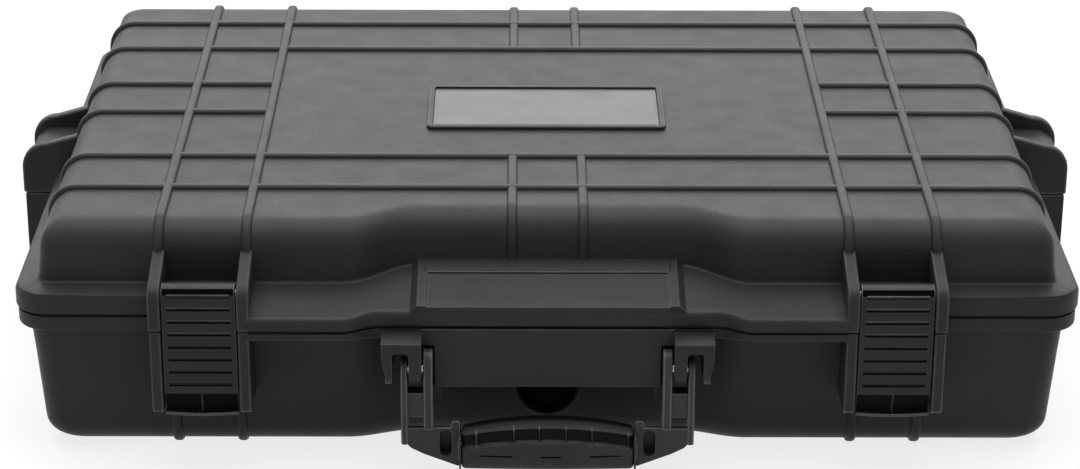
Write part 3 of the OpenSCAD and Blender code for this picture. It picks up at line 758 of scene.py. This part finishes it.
def guard_plate(side_view, x, half_t=GUARD_T / 2):
    """A guard at the front of the case."""
    return plate(side_view, x - half_t, x + half_t, "x", 1.3)


def on_sides(side_view):
    """The strap plates on the right side of the case, drawn with out as negative, and their twins."""
    shape = [(HALF_W - a, b) for a, b in side_view]
    return [mirrored(plate(shape, y - GUARD_T / 2, y + GUARD_T / 2, "y", 1.2)) for y in STRAP_ROWS]


def crossed(front_view, side_view, along_y, along_x, bevel):
    """What a front view and a side view have in common, with rounded edges."""
    block = boolean(plate(front_view, *along_y, "y"), plate(side_view, *along_x, "x"), "INTERSECT")
    bevel_sharp(block, bevel, 2, 32)
    return block


def bored(mesh, hole):
    """The mesh with a round hole (a, b, r, low, high, axis)."""
    return boolean(mesh, rod(*hole), "DIFFERENCE")


def strap_roof():
    """The arched roof between two strap plates."""
    low = FLANGE_EDGE + 2.2
    tall = 5.2
    out = HALF_W + GUARD_OUT - 3
    root = HALF_W - LID_INSET
    top = [(out - 9 * t, low + tall * math.sin(math.pi * (t + 0.18) / 2)) for t in (i / 8 for i in range(8))]
    return plate([(root, low), (out, low)] + top + [(root, low + tall)], *STRAP_ROWS, "y")


def lid_guards():
    """Guards of the latches with the bores of their pins, and the strap plates with their roofs."""
    guards = []
    for x in (GUARD_IN_X, GUARD_OUT_X):
        guard = guard_plate(lid_guard_outline(LID_LOW, FLANGE_EDGE + 12.2, 8), x, GUARD_T / 2 + 0.3)
        bore = (-LATCH_OUT, LATCH_Z, TIGHT_BORE, x - GUARD_T, x + GUARD_T, "x")
        guards.append(mirrored(bored(guard, bore)))
    guards += on_sides(lid_guard_outline(PARTING_Z - 2.8, FLANGE_EDGE + 13.8, 13))
    return combined(guards + [mirrored(strap_roof())])


def base_guards():
    """The lower halves of the latch guards and of the strap plates."""
    guards = [mirrored(guard_plate(base_guard_outline(BASE_TOP), x)) for x in (GUARD_IN_X, GUARD_OUT_X)]
    return combined(guards + on_sides(base_guard_outline(PARTING_Z - 3.3)))


# ---- the middle of the front ----

def platform():
    """The sloping shelf for the hand behind the handle, with a shallow panel and a ledge at its back."""
    half = 61.4
    foot = half + 3.5
    top = 3.3
    panel = 56.9
    floor = top - 0.8
    low = -6.0
    back = LID_INSET + LID_RECESS + 2.4
    shape = [(-foot, low), (foot, low), (foot, 0), (half, top), (panel + 0.6, top),
             (panel, floor), (-panel, floor), (-panel - 0.6, top), (-half, top), (-foot, 0)]
    shelf = plate(shape, 0.3 - MID_OUT, back, "y", 0.7, 2)
    ledge = plate(oblong(-panel - 2, low, panel + 2, top), 16, back, "y", 0.5, 2)
    return combined([on_slope(shelf), on_slope(ledge)])


def round_box(low, high, out, r):
    """The plan of a node's box, grown and with rounded corners."""
    return box_outline(low[0] - out, low[1] - out, high[0] + out, high[1] + out, r)


def plate_frame():
    """The raised ridge round the bare name plate."""
    low, high = node_box("name_plate")
    outer = plate(round_box(low, high, 3.15, 3.5), LID_TOP - 2, LID_TOP + 1.9, "z", 0.9)
    inner = plate(round_box(low, high, 0.15, 1.2), LID_TOP, LID_TOP + 4, "z")
    return boolean(outer, inner, "DIFFERENCE")


def knuckles(first, up):
    """Hinge knuckles with the arms that carry them; up is 1 on the lid and -1 on the base."""
    pitch = 15
    gap = 0.3
    r = 6
    root = CASE_D - WALL
    side_view = [(root, PARTING_Z + up * SEAL_GAP)] + arc(HINGE_Y, PARTING_Z, r, 0, 90 * up, 10)
    side_view += [(root, PARTING_Z + up * 7)]
    made = []
    for side in (-1, 1):
        for i in range(first, 5, 2):
            low = side * PAIR_X - 2.5 * pitch + i * pitch + gap
            high = low + pitch - 2 * gap
            barrel = rod(HINGE_Y, PARTING_Z, r, low, high, "x", 0.6)
            made.append(plate(side_view, low, high, "x", 0.6, 2))
            made.append(bored(barrel, (HINGE_Y, PARTING_Z, LOOSE_BORE, low - 1, high + 1, "x")))
    return combined(made)


def bracket():
    """The right block with two tapering prongs that carries one end of the handle."""
    inner_x, outer_x = 59.2, 78.0
    slot_low, slot_high = 65.2, 72.8
    slot_top = HANDLE_Z + 10.6
    slot_r = 1.6
    out = -23.0
    top = BASE_TOP - 1.2
    foot_r = 7.5
    front_view = [(inner_x, top), (inner_x, HANDLE_Z), (inner_x + 0.8, HANDLE_Z - 4)]
    front_view += arc(inner_x + 3.1, HANDLE_Z - 4.6, 2.2, 180, 360, 6) + [(slot_low, HANDLE_Z)]
    front_view += arc(slot_low + slot_r, slot_top - slot_r, slot_r, 180, 90, 4)
    front_view += arc(slot_high - slot_r, slot_top - slot_r, slot_r, 90, 0, 4)
    front_view += [(slot_high, HANDLE_Z)] + arc(slot_high + 2.0, HANDLE_Z - 5.6, 1.7, 180, 360, 6)
    front_view += [(outer_x - 1.9, HANDLE_Z - 1), (outer_x - 0.6, HANDLE_Z + 4), (outer_x, HANDLE_Z + 9)]
    front_view += [(outer_x, top)]
    side_view = arc(-HANDLE_OUT, HANDLE_Z, foot_r, 180, 270)
    side_view += [(BASE_FRONT, HANDLE_Z - foot_r), (BASE_FRONT, top), (-MID_OUT, top), (out, top - 2.4)]
    return crossed(front_view, side_view, (out - 1, BASE_FRONT + 1), (inner_x - 1, outer_x + 1), 0.7)


def apron():
    """The panel behind the grip, and the pads that the hanging handle leans on."""
    low = HANDLE_Z - 11.3
    top = BASE_TOP - PARTING_RELIEF
    half = 53.4
    bar_low, bar_half = HANDLE_Z + 10.1, 59.6
    front_view = [(-bar_half, bar_low), (-half, bar_low), (-half, low), (half, low), (half, bar_low),
                  (bar_half, bar_low), (bar_half, top), (-bar_half, top)]
    sheet = plate(front_view, -MID_OUT, BASE_FRONT + 2, "y", 0.6)
    pad = plate(oblong(-9.7, low - 8, BASE_FRONT + 3, low - 0.5), 50, 58.5, "x")
    cheek = plate(oblong(-4.8, low, BASE_FRONT + 2, FLANGE_LOW + 1), half - 1, 59.4, "x")
    return combined([sheet, mirrored(pad), mirrored(cheek)])


def lid_mesh():
    """All that is moulded in one with the lid."""
    return combined([lid_skin(), lid_ribs(), lid_guards(), platform(), plate_frame(), knuckles(1, 1)])


def base_mesh():
    """The base with the round well of the valve sunk into its front wall."""
    well_floor = BASE_FRONT + 12
    boss = rod(0, WELL_Z, 16.4, BASE_FRONT + 1, well_floor + 6.2, "y", 0.6, 64)
    skin = boolean(base_skin(), boss, "UNION")
    skin = bored(skin, (0, WELL_Z, 14.6, 0, well_floor, "y", 0, 64))
    skin = bored(skin, (0, WELL_Z, 5, 0, 60, "y"))
    return combined([skin, base_ribs(), base_guards(), mirrored(bracket()), apron(), knuckles(0, -1)])


# ---- latches ----

def scoop_curve(proud=0.0, start=0.0):
    """Side view of the finger scoop in a lever, from top to lip; proud lifts it out of the surface."""
    steps = 10
    shares = [start + (1 - start) * i / steps for i in range(steps + 1)]
    return [(LEVER_FRONT - proud + SCOOP_DEEP * math.sin(math.pi / 2 * t) ** 1.3,
             SCOOP_TOP - (SCOOP_TOP - SCOOP_LOW) * t) for t in shares]


def bowed(mesh, x):
    """Let the lip of a lever hang a little lower in its middle."""
    strips = 10
    for i in range(1, strips):
        cut_x = x - LEVER_HALF + 2 * LEVER_HALF * i / strips
        everything = mesh.verts[:] + mesh.edges[:] + mesh.faces[:]
        bmesh.ops.bisect_plane(mesh, geom=everything, plane_co=(cut_x, 0, 0), plane_no=(1, 0, 0))
    for vert in mesh.verts:
        if vert.co.z < SCOOP_LOW + 0.1:
            vert.co.z -= LIP_BOW * (1 - ((vert.co.x - x) / LEVER_HALF) ** 2)
    return mesh


def from_pin(points):
    """Points given from the lever's front face and the height of its pin."""
    return [(LEVER_FRONT + a, LATCH_Z + b) for a, b in points]


def lever_plate(x):
    """The plate of a lever with its scoop and lip, the roll round its pin and the neck under the roll."""
    low_x, high_x = x - LEVER_HALF, x + LEVER_HALF
    back = LEVER_FRONT + 4.6
    low = GUARD_LOW - 0.7
    lip = [(LEVER_FRONT + 0.5, low + 1.5), (LEVER_FRONT, low + 0.9), (LEVER_FRONT + 0.6, low)]
    side_view = [(back, LATCH_Z), (LEVER_FRONT, LATCH_Z)] + scoop_curve() + lip + [(back, low)]
    mesh = bowed(plate(side_view, low_x, high_x, "x", 0.3, 2), x)
    mesh = boolean(mesh, rod(-LATCH_OUT, LATCH_Z, 5, low_x, high_x, "x", 0.6, 48), "UNION")
    neck = from_pin([(-1, 1.0), (0, 1.0), (2.1, -0.2), (2.3, 2.0), (3.2, 3.6), (-1, 3.6)])
    return boolean(mesh, plate(neck, low_x + 0.7, high_x - 0.7, "x"), "DIFFERENCE")


def lever(side):
    """One latch lever: its plate with eight grooves, beads over the upper ones that carry painted
    highlights, the hook and the seam.
    """
    x = side * PAIR_X
    mesh = lever_plate(x)
    pitch = 6.43
    slot_half, bead_half = 14.8, 14.6
    beads = []
    for i in range(8):
        z = LATCH_Z - i * pitch
        tall = 0.60 + 0.03 * i
        section = box_outline(LEVER_FRONT - 1, z - tall, LEVER_FRONT + 1.5, z + tall, 0.3)
        mesh = boolean(mesh, plate(section, x - slot_half, x + slot_half, "x"), "DIFFERENCE")
        if i < 4:
            bead = rod(LEVER_FRONT + 0.15, z + tall + 0.3, 0.42, x - bead_half, x + bead_half, "x", 0.15, 12)
            # The beads are painted as highlights, a little less on each lower one.
            beads.append(mark_wear_and_highlight(bead, lambda centre: 1.0 - 0.1 * i))
    mesh = bored(mesh, (-LATCH_OUT, LATCH_Z, LOOSE_BORE, x - 20, x + 20, "x"))
    root = LEVER_FRONT + 3.6
    top = FLANGE_LOW - 0.3
    hook_view = [(root, top - 7), (root + 7, top - 7), (4, top - 1.5), (4, top), (-2.3, top),
                 (-4.3, top - 3), (root, top - 3)]
    hook = plate(hook_view, x - LEVER_HALF, x + LEVER_HALF, "x", 0.4)
    seam = plate(scoop_curve(0.35, 0.1) + scoop_curve(-0.5, 0.1)[::-1], x - 0.35, x + 0.35, "x", 0.15, 1)
    return combined([mesh, hook, seam] + beads)


def shade_sheets(side):
    """Near-black sheets of painted shade inside a lever: in its neck under the roll, and in its scoop in two
    halves beside the seam.
    """
    x = side * PAIR_X
    neck = from_pin([(1.7, 0.6), (2.0, 2.0), (2.9, 3.5), (3.7, 3.5), (2.7, 1.8), (2.5, 0.6)])
    over_lip = [(LEVER_FRONT + 0.7, SCOOP_LOW - 0.55), (LEVER_FRONT + 1.2, SCOOP_LOW - 0.9)]
    shape = scoop_curve(0.15, 0.15) + over_lip + scoop_curve(-0.5, 0.15)[::-1]
    halves = [plate(shape, x + a, x + b, "x") for a, b in ((-16.9, -0.5), (0.5, 16.9))]
    return combined(halves + [plate(neck, x - 16.5, x + 16.5, "x")])


# ---- handle ----

def arm(x, thick, heel, low):
    """A handle arm: a flat bar with a round end above its pin."""
    shape = arc(-HANDLE_OUT, HANDLE_Z + heel, ARM_R, 0, 180, 16)
    shape += [(-HANDLE_OUT - ARM_R, low), (-HANDLE_OUT + ARM_R, low)]
    return bored(plate(shape, x, x + thick, "x", 0.9), (-HANDLE_OUT, HANDLE_Z, LOOSE_BORE, 50, 75, "x"))


def handle_mesh():
    """Two forked arms with a web in each fork, corner blocks with a pocket, and the core inside the grip."""
    foot = HANDLE_Z - 29.2
    inner_x, inner_t = 54.0, 4.5
    outer_x, outer_t = 65.9, 3.3
    front, back = -HANDLE_OUT - ARM_R, -HANDLE_OUT + ARM_R
    arms = [arm(inner_x, inner_t, 4.0, foot - 1), arm(outer_x, outer_t, 0.0, GRIP_LOW + 11.1)]
    web_view = box_outline(inner_x + 1, HANDLE_Z - 24, outer_x + outer_t - 1, HANDLE_Z - 11.4, 1.0)
    web = plate(web_view, front + 1.5, back - 1.5, "y", 0.5, 2)
    post_top = foot + 3.8
    front_view = [(GRIP_HALF + 0.6, GRIP_LOW), (GRIP_HALF + 2, GRIP_LOW),
                  (inner_x + inner_t, GRIP_LOW + 6.2), (outer_x - 1.2, GRIP_LOW + 9.4),
                  (outer_x + 0.8, GRIP_LOW + 11.6), (outer_x + 0.8, foot),
                  (inner_x + 1.5, foot), (inner_x - 1.5, foot + 0.4),
                  (GRIP_HALF + 4.9, foot + 0.2), (GRIP_HALF + 4.4, post_top - 0.4),
                  (GRIP_HALF + 3.6, post_top), (GRIP_HALF + 1.2, post_top),
                  (GRIP_HALF + 0.6, post_top - 0.8)]
    side_view = [(front + 0.6, GRIP_LOW - 1), (back - 0.6, GRIP_LOW - 1), (back - 0.6, foot - 7),
                 (front + 3.5, foot), (front + 1.2, post_top + 0.5), (front + 0.6, post_top + 0.5)]
    block = crossed(front_view, side_view, (front - 1, back + 1), (30, 90), 0.6)
    pocket = box_outline(GRIP_HALF + 4.6, GRIP_LOW + 5.4, GRIP_HALF + 10.1, foot - 0.9, 2.6)
    block = boolean(block, plate(pocket, front - 5, back - 3, "y"), "DIFFERENCE")
    core = plate(oblong(-25, 13, -14, 22), -GRIP_HALF - 1.6, GRIP_HALF + 1.6, "x", 0.5)
    collar_view = box_outline(-28, GRIP_LOW + 1.2, -11.5, foot - 1.5, 2.5)
    collar = plate(collar_view, GRIP_HALF + 0.05, GRIP_HALF + 0.9, "x")
    return combined([mirrored(combined(arms + [web, block, collar])), core])


def grip_mesh():
    """Rubber sleeve: arched on top, with a finger band between thin webs on its front and back."""
    centre_y = -HANDLE_OUT - 4
    webs = [-33.6, -15.9, -3.9, 8.6, 20.8, 38.0]
    near_web = lambda x, reach: max(math.exp(-((x - w) / reach) ** 2) for w in webs)
    stations = 240
    around = 120
    power = 2.7
    rim = 2.0
    groove = 1.9
    rings = []
    for x in (-GRIP_HALF + 2 * GRIP_HALF * i / stations for i in range(stations + 1)):
        t = x / GRIP_HALF
        top = GRIP_H - GRIP_DROP * t * t
        deep = 11.0 - 2.5 * t * t
        end = min(GRIP_HALF - abs(x), rim)
        trim = rim - math.sqrt(max(0.0, rim ** 2 - (rim - end) ** 2))
        web = near_web(x, 0.4)
        ring = []
        for k in range(around):
            a = 2 * math.pi * k / around
            cy, cz = math.cos(a), math.sin(a)
            size = (abs(cy) ** power + abs(cz) ** power) ** (-1 / power)
            y = size * cy * (deep - trim)
            z = size * cz * (top / 2 - trim)
            height = (z + top / 2 + (GRIP_H - top)) / GRIP_H
            band = ease((height - BAND[0] + 0.02) / 0.04) * ease((BAND[1] + 0.03 - height) / 0.06)
            y -= math.copysign(groove * band * (1 - web) * min(1.0, 1.4 * abs(y) / deep), y)
            ring.append((x, centre_y + y, GRIP_LOW + top / 2 + z))
        rings.append(ring)

    def web_highlight(centre):
        """How much a face gets a painted highlight: the webs stand out of the band."""
        height = (centre.z - GRIP_LOW + GRIP_DROP * (centre.x / GRIP_HALF) ** 2) / GRIP_H
        inside = ease((height - BAND[0] + 0.04) / 0.04) * ease((BAND[1] + 0.08 - height) / 0.04)
        return inside * near_web(centre.x, 0.35)

    # The webs in the finger band carry painted highlights.
    mesh = mark_wear_and_highlight(skinned(rings), web_highlight)
    for x0, x1 in ((-32, -16.5), (-3.2, 6.5), (19.6, 35)):
        dash = box_outline(x0, GRIP_LOW + 9.2, x1, GRIP_LOW + 10.1, 0.44)
        mesh = boolean(mesh, plate(dash, centre_y - 13, centre_y - 8.6, "y"), "DIFFERENCE")
    return mesh


# ---- valve ----

def knob_mesh():
    """Pressure knob with a scalloped rim and a coin slot."""
    low, high = node_box("valve_knob")
    back = low[1] + 5
    rim = []
    for a in (2 * math.pi * i / 180 for i in range(180)):
        r = 9 - 0.5 * abs(math.sin(9 * a))
        rim.append((r * math.cos(a), WELL_Z + r * math.sin(a)))
    head = plate(rim, low[1], back, "y", 0.5, 2)
    slot = plate(box_outline(-6.5, WELL_Z - 1.2, 6.5, WELL_Z + 1.2, 0.4), low[1] - 1, low[1] + 1.6, "y")
    head = boolean(head, slot, "DIFFERENCE")
    return combined([head, rod(0, WELL_Z, 3, back - 0.5, high[1], "y", 0.4)])


def valve_body_mesh():
    """The valve's flange in the well and its tube through the wall."""
    low, high = node_box("valve_body")
    bore = 3.08
    flange = rod(0, WELL_Z, 11.5, low[1], low[1] + 2, "y", 0.6, 64)
    tube = rod(0, WELL_Z, 5, low[1] + 1.5, high[1], "y", 0.4)
    return combined([bored(flange, (0, WELL_Z, bore, low[1] - 1, low[1] + 3, "y")),
                     bored(tube, (0, WELL_Z, bore, low[1], high[1] + 1, "y"))])


def nut_mesh():
    """The hexagonal nut on the inside of the wall."""
    low, high = node_box("valve_nut")
    hexagon = arc(0, WELL_Z, high[0], 0, 300, 5)
    nut = plate(hexagon, low[1], high[1], "y", 0.5, 2)
    return bored(nut, (0, WELL_Z, 5, low[1] - 1, high[1] + 1, "y"))


# ---- padding ----

def foam_pad(name, inset_of, recess, z_fixed, z_free, replaced, body, cell, wave_height):
    """A pad with an egg-crate free face: a grid of waves laid over a block with rounded rims."""
    up = 1 if z_free > z_fixed else -1
    clear = WALL + 0.8
    rim = 3.5
    free = inset_of(z_free) + clear
    fixed = inset_of(z_fixed) + clear
    crest = z_free - up * wave_height
    block = skinned([level(fixed + 1.5, recess, z_fixed, 8), level(fixed, recess, z_fixed + up * 1.5, 9),
                     level(free, recess, z_free - up * (rim + wave_height), 9),
                     level(free + 1.2, recess, z_free - up * (1.0 + wave_height), 8),
                     level(free + rim, recess, crest, 7)])
    step = 2.5
    margin = free + rim + 1
    half_w = HALF_W - margin
    length = CASE_D - 2 * margin - recess
    across = int(2 * half_w / step)
    deep = int(length / step)
    sheet = bmesh.new()
    rows = []
    for j in range(deep + 1):
        y = margin + recess + length * j / deep
        row = []
        for i in range(across + 1):
            x = half_w * (2 * i / across - 1)
            fade = ease(min(i, across - i, j, deep - j) * step / 12)
            wave = 0.5 + 0.25 * (math.cos(2 * math.pi * x / cell) + math.cos(2 * math.pi * y / cell))
            uneven = 0.15 * noise.noise(Vector((x, y, 0)) * 0.08)
            z = z_free - up * wave_height * (1 - fade * wave) + up * uneven
            row.append(sheet.verts.new((x, y, z)))
        rows.append(row)
    for low, high in zip(rows, rows[1:]):
        for i in range(across):
            sheet.faces.new((low[i], low[i + 1], high[i + 1], high[i]))
    rim_edges = [e for e in sheet.edges if e.is_boundary]
    made = bmesh.ops.extrude_edge_only(sheet, edges=rim_edges)
    for vert in [v for v in made["geom"] if isinstance(v, bmesh.types.BMVert)]:
        vert.co.z = z_fixed + up * 4
    bmesh.ops.holes_fill(sheet, edges=[e for e in sheet.edges if e.is_boundary], sides=0)
    bmesh.ops.recalc_face_normals(sheet, faces=sheet.faces)
    pad = piece(name, combined([block, sheet]), FOAM, body, [replaced])
    return pad


# ---- putting it together ----

def dress_case():
    """Make the visible pieces and hang each on its body."""
    piece("lid", lid_mesh(), SHELL, "lid", ["lid_shell"])
    piece("base", base_mesh(), SHELL, "base", ["base_shell"])
    for side, word in ((-1, "left"), (1, "right")):
        latch = "latch_" + word
        piece("lever_" + word, lever(side), LEVER, latch, [latch])
        # Painted shade: near-black sheets in the lever's scoop and neck.
        piece("lining_" + word, shade_sheets(side), SHADE_SHEET, latch)
    piece("handle", handle_mesh(), HANDLE, "handle", ["handle_frame"])
    piece("grip", grip_mesh(), RUBBER, "handle", ["handle_grip"])
    piece("knob", knob_mesh(), VALVE, "valve_knob", ["valve_knob"])
    piece("valve", valve_body_mesh(), VALVE, "base", ["valve_body"])
    piece("nut", nut_mesh(), VALVE, "base", ["valve_nut"])
    low, high = node_box("name_plate")
    badge = plate(round_box(low, high, 0, 1.0), low[2], high[2], "z", 0.3, 2)
    piece("badge", badge, BADGE, "lid", ["name_plate"])
    low, high = node_box("base_foam")
    foam_pad("base_pad", base_wall_inset, BASE_RECESS, low[2] + 0.2, high[2], "base_foam", "base", 30.0, 0.0)
    low, high = node_box("lid_foam")
    foam_pad("lid_pad", wall_inset, LID_RECESS, high[2] - 0.2, low[2], "lid_foam", "lid", 26.0, 7.0)


def paint_kept_nodes():
    """The CAD nodes that stay get their finish."""
    finishes = {"lid_seal": SEAL, "valve_seal": SEAL}
    for node in frame["nodes"]:
        if "pin" in node or "bar" in node:
            finishes[node] = STEEL
    for node, material in finishes.items():
        data = frame["nodes"][node].data
        data.materials.clear()
        data.materials.append(material)


def seen_rays(tree):
    """1 for rays from the camera and for reflected and refracted ones."""
    path = add(tree, "LightPath").outputs
    reflected = math_node(tree, "MAXIMUM", path["Is Camera Ray"], path["Is Glossy Ray"])
    return math_node(tree, "MAXIMUM", reflected, path["Is Transmission Ray"])


def mix_for_seen(tree, hidden, seen, output):
    """One shader for the rays that see the surroundings, another for those that only carry their light."""
    mix = add(tree, "MixShader", Fac=seen_rays(tree))
    tree.links.new(hidden.outputs[0], mix.inputs[1])
    tree.links.new(seen.outputs[0], mix.inputs[2])
    feed(output, Surface=mix.outputs["Shader"])


def white_backdrop():
    """White for what the camera and reflections see of the surroundings, and a soft light for the rest."""
    world = bpy.data.worlds.new("studio")
    bpy.context.scene.world = world
    world.use_nodes = True
    tree = world.node_tree
    light = feed(tree.nodes["Background"], Color=(1, 1, 1, 1), Strength=0.32)
    seen = add(tree, "Background", Color=(1, 1, 1, 1), Strength=1.0)
    mix_for_seen(tree, light, seen, tree.nodes["World Output"])


def pale_floor():
    """A wide pale floor that keeps the object's shadow, seen as mostly white."""
    mesh = bmesh.new()
    bmesh.ops.create_grid(mesh, x_segments=1, y_segments=1, size=12.0)
    data = bpy.data.meshes.new("floor")
    mesh.to_mesh(data)
    mesh.free()
    floor = placed("floor", data)
    material, tree, shader = nodes_of("pale_floor")
    feed(shader, Base_Color=(0.93, 0.93, 0.93, 1), Roughness=0.9, Specular_IOR_Level=0.0)
    white = add(tree, "Emission", Strength=1.0)
    seen = add(tree, "MixShader", Fac=0.8)
    tree.links.new(shader.outputs[0], seen.inputs[1])
    tree.links.new(white.outputs[0], seen.inputs[2])
    mix_for_seen(tree, shader, seen, tree.nodes["Material Output"])
    data.materials.append(material)


def lamp(name, at, toward, size, power):
    """A soft area lamp that looks at a point."""
    light = bpy.data.lights.new(name, "AREA")
    light.shape = "RECTANGLE"
    light.size, light.size_y = size
    light.energy = power
    obj = placed(name, light)
    obj.location = at
    obj.rotation_euler = (Vector(toward) - Vector(at)).to_track_quat("-Z", "Y").to_euler()


def camera():
    """The photograph's view: a long lens, 23 degrees above the horizon, almost square on to the front."""
    pitch, yaw, roll = (math.radians(a) for a in (22.978, 0.3815, 0.2651))
    forward = Vector((math.sin(yaw) * math.cos(pitch), math.cos(yaw) * math.cos(pitch), -math.sin(pitch)))
    right = Vector((math.cos(yaw), -math.sin(yaw), 0))
    up = right.cross(forward)
    right_rolled = math.cos(roll) * right + math.sin(roll) * up
    up_rolled = math.cos(roll) * up - math.sin(roll) * right
    data = bpy.data.cameras.new("camera")
    data.sensor_width = 36.0
    data.lens = 101.667
    data.clip_end = 100.0
    obj = placed("camera", data)
    eye = Matrix.Translation((-0.01259, -1.4785, 0.67371))
    obj.matrix_world = eye @ Matrix((right_rolled, up_rolled, -forward)).transposed().to_4x4()
    bpy.context.scene.camera = obj


def light_scene():
    white_backdrop()
    pale_floor()
    lamp("overhead", (0.0, 0.15, 1.9), (0.0, 0.1, 0.0), (2.2, 2.2), 61.0)
    lamp("behind", (0.0, 2.6, 1.25), (0.0, 0.0, 0.1), (3.6, 1.3), 39.0)


bpy.context.scene.view_settings.view_transform = "Standard"
camera()
light_scene()
dress_case()
paint_kept_nodes()
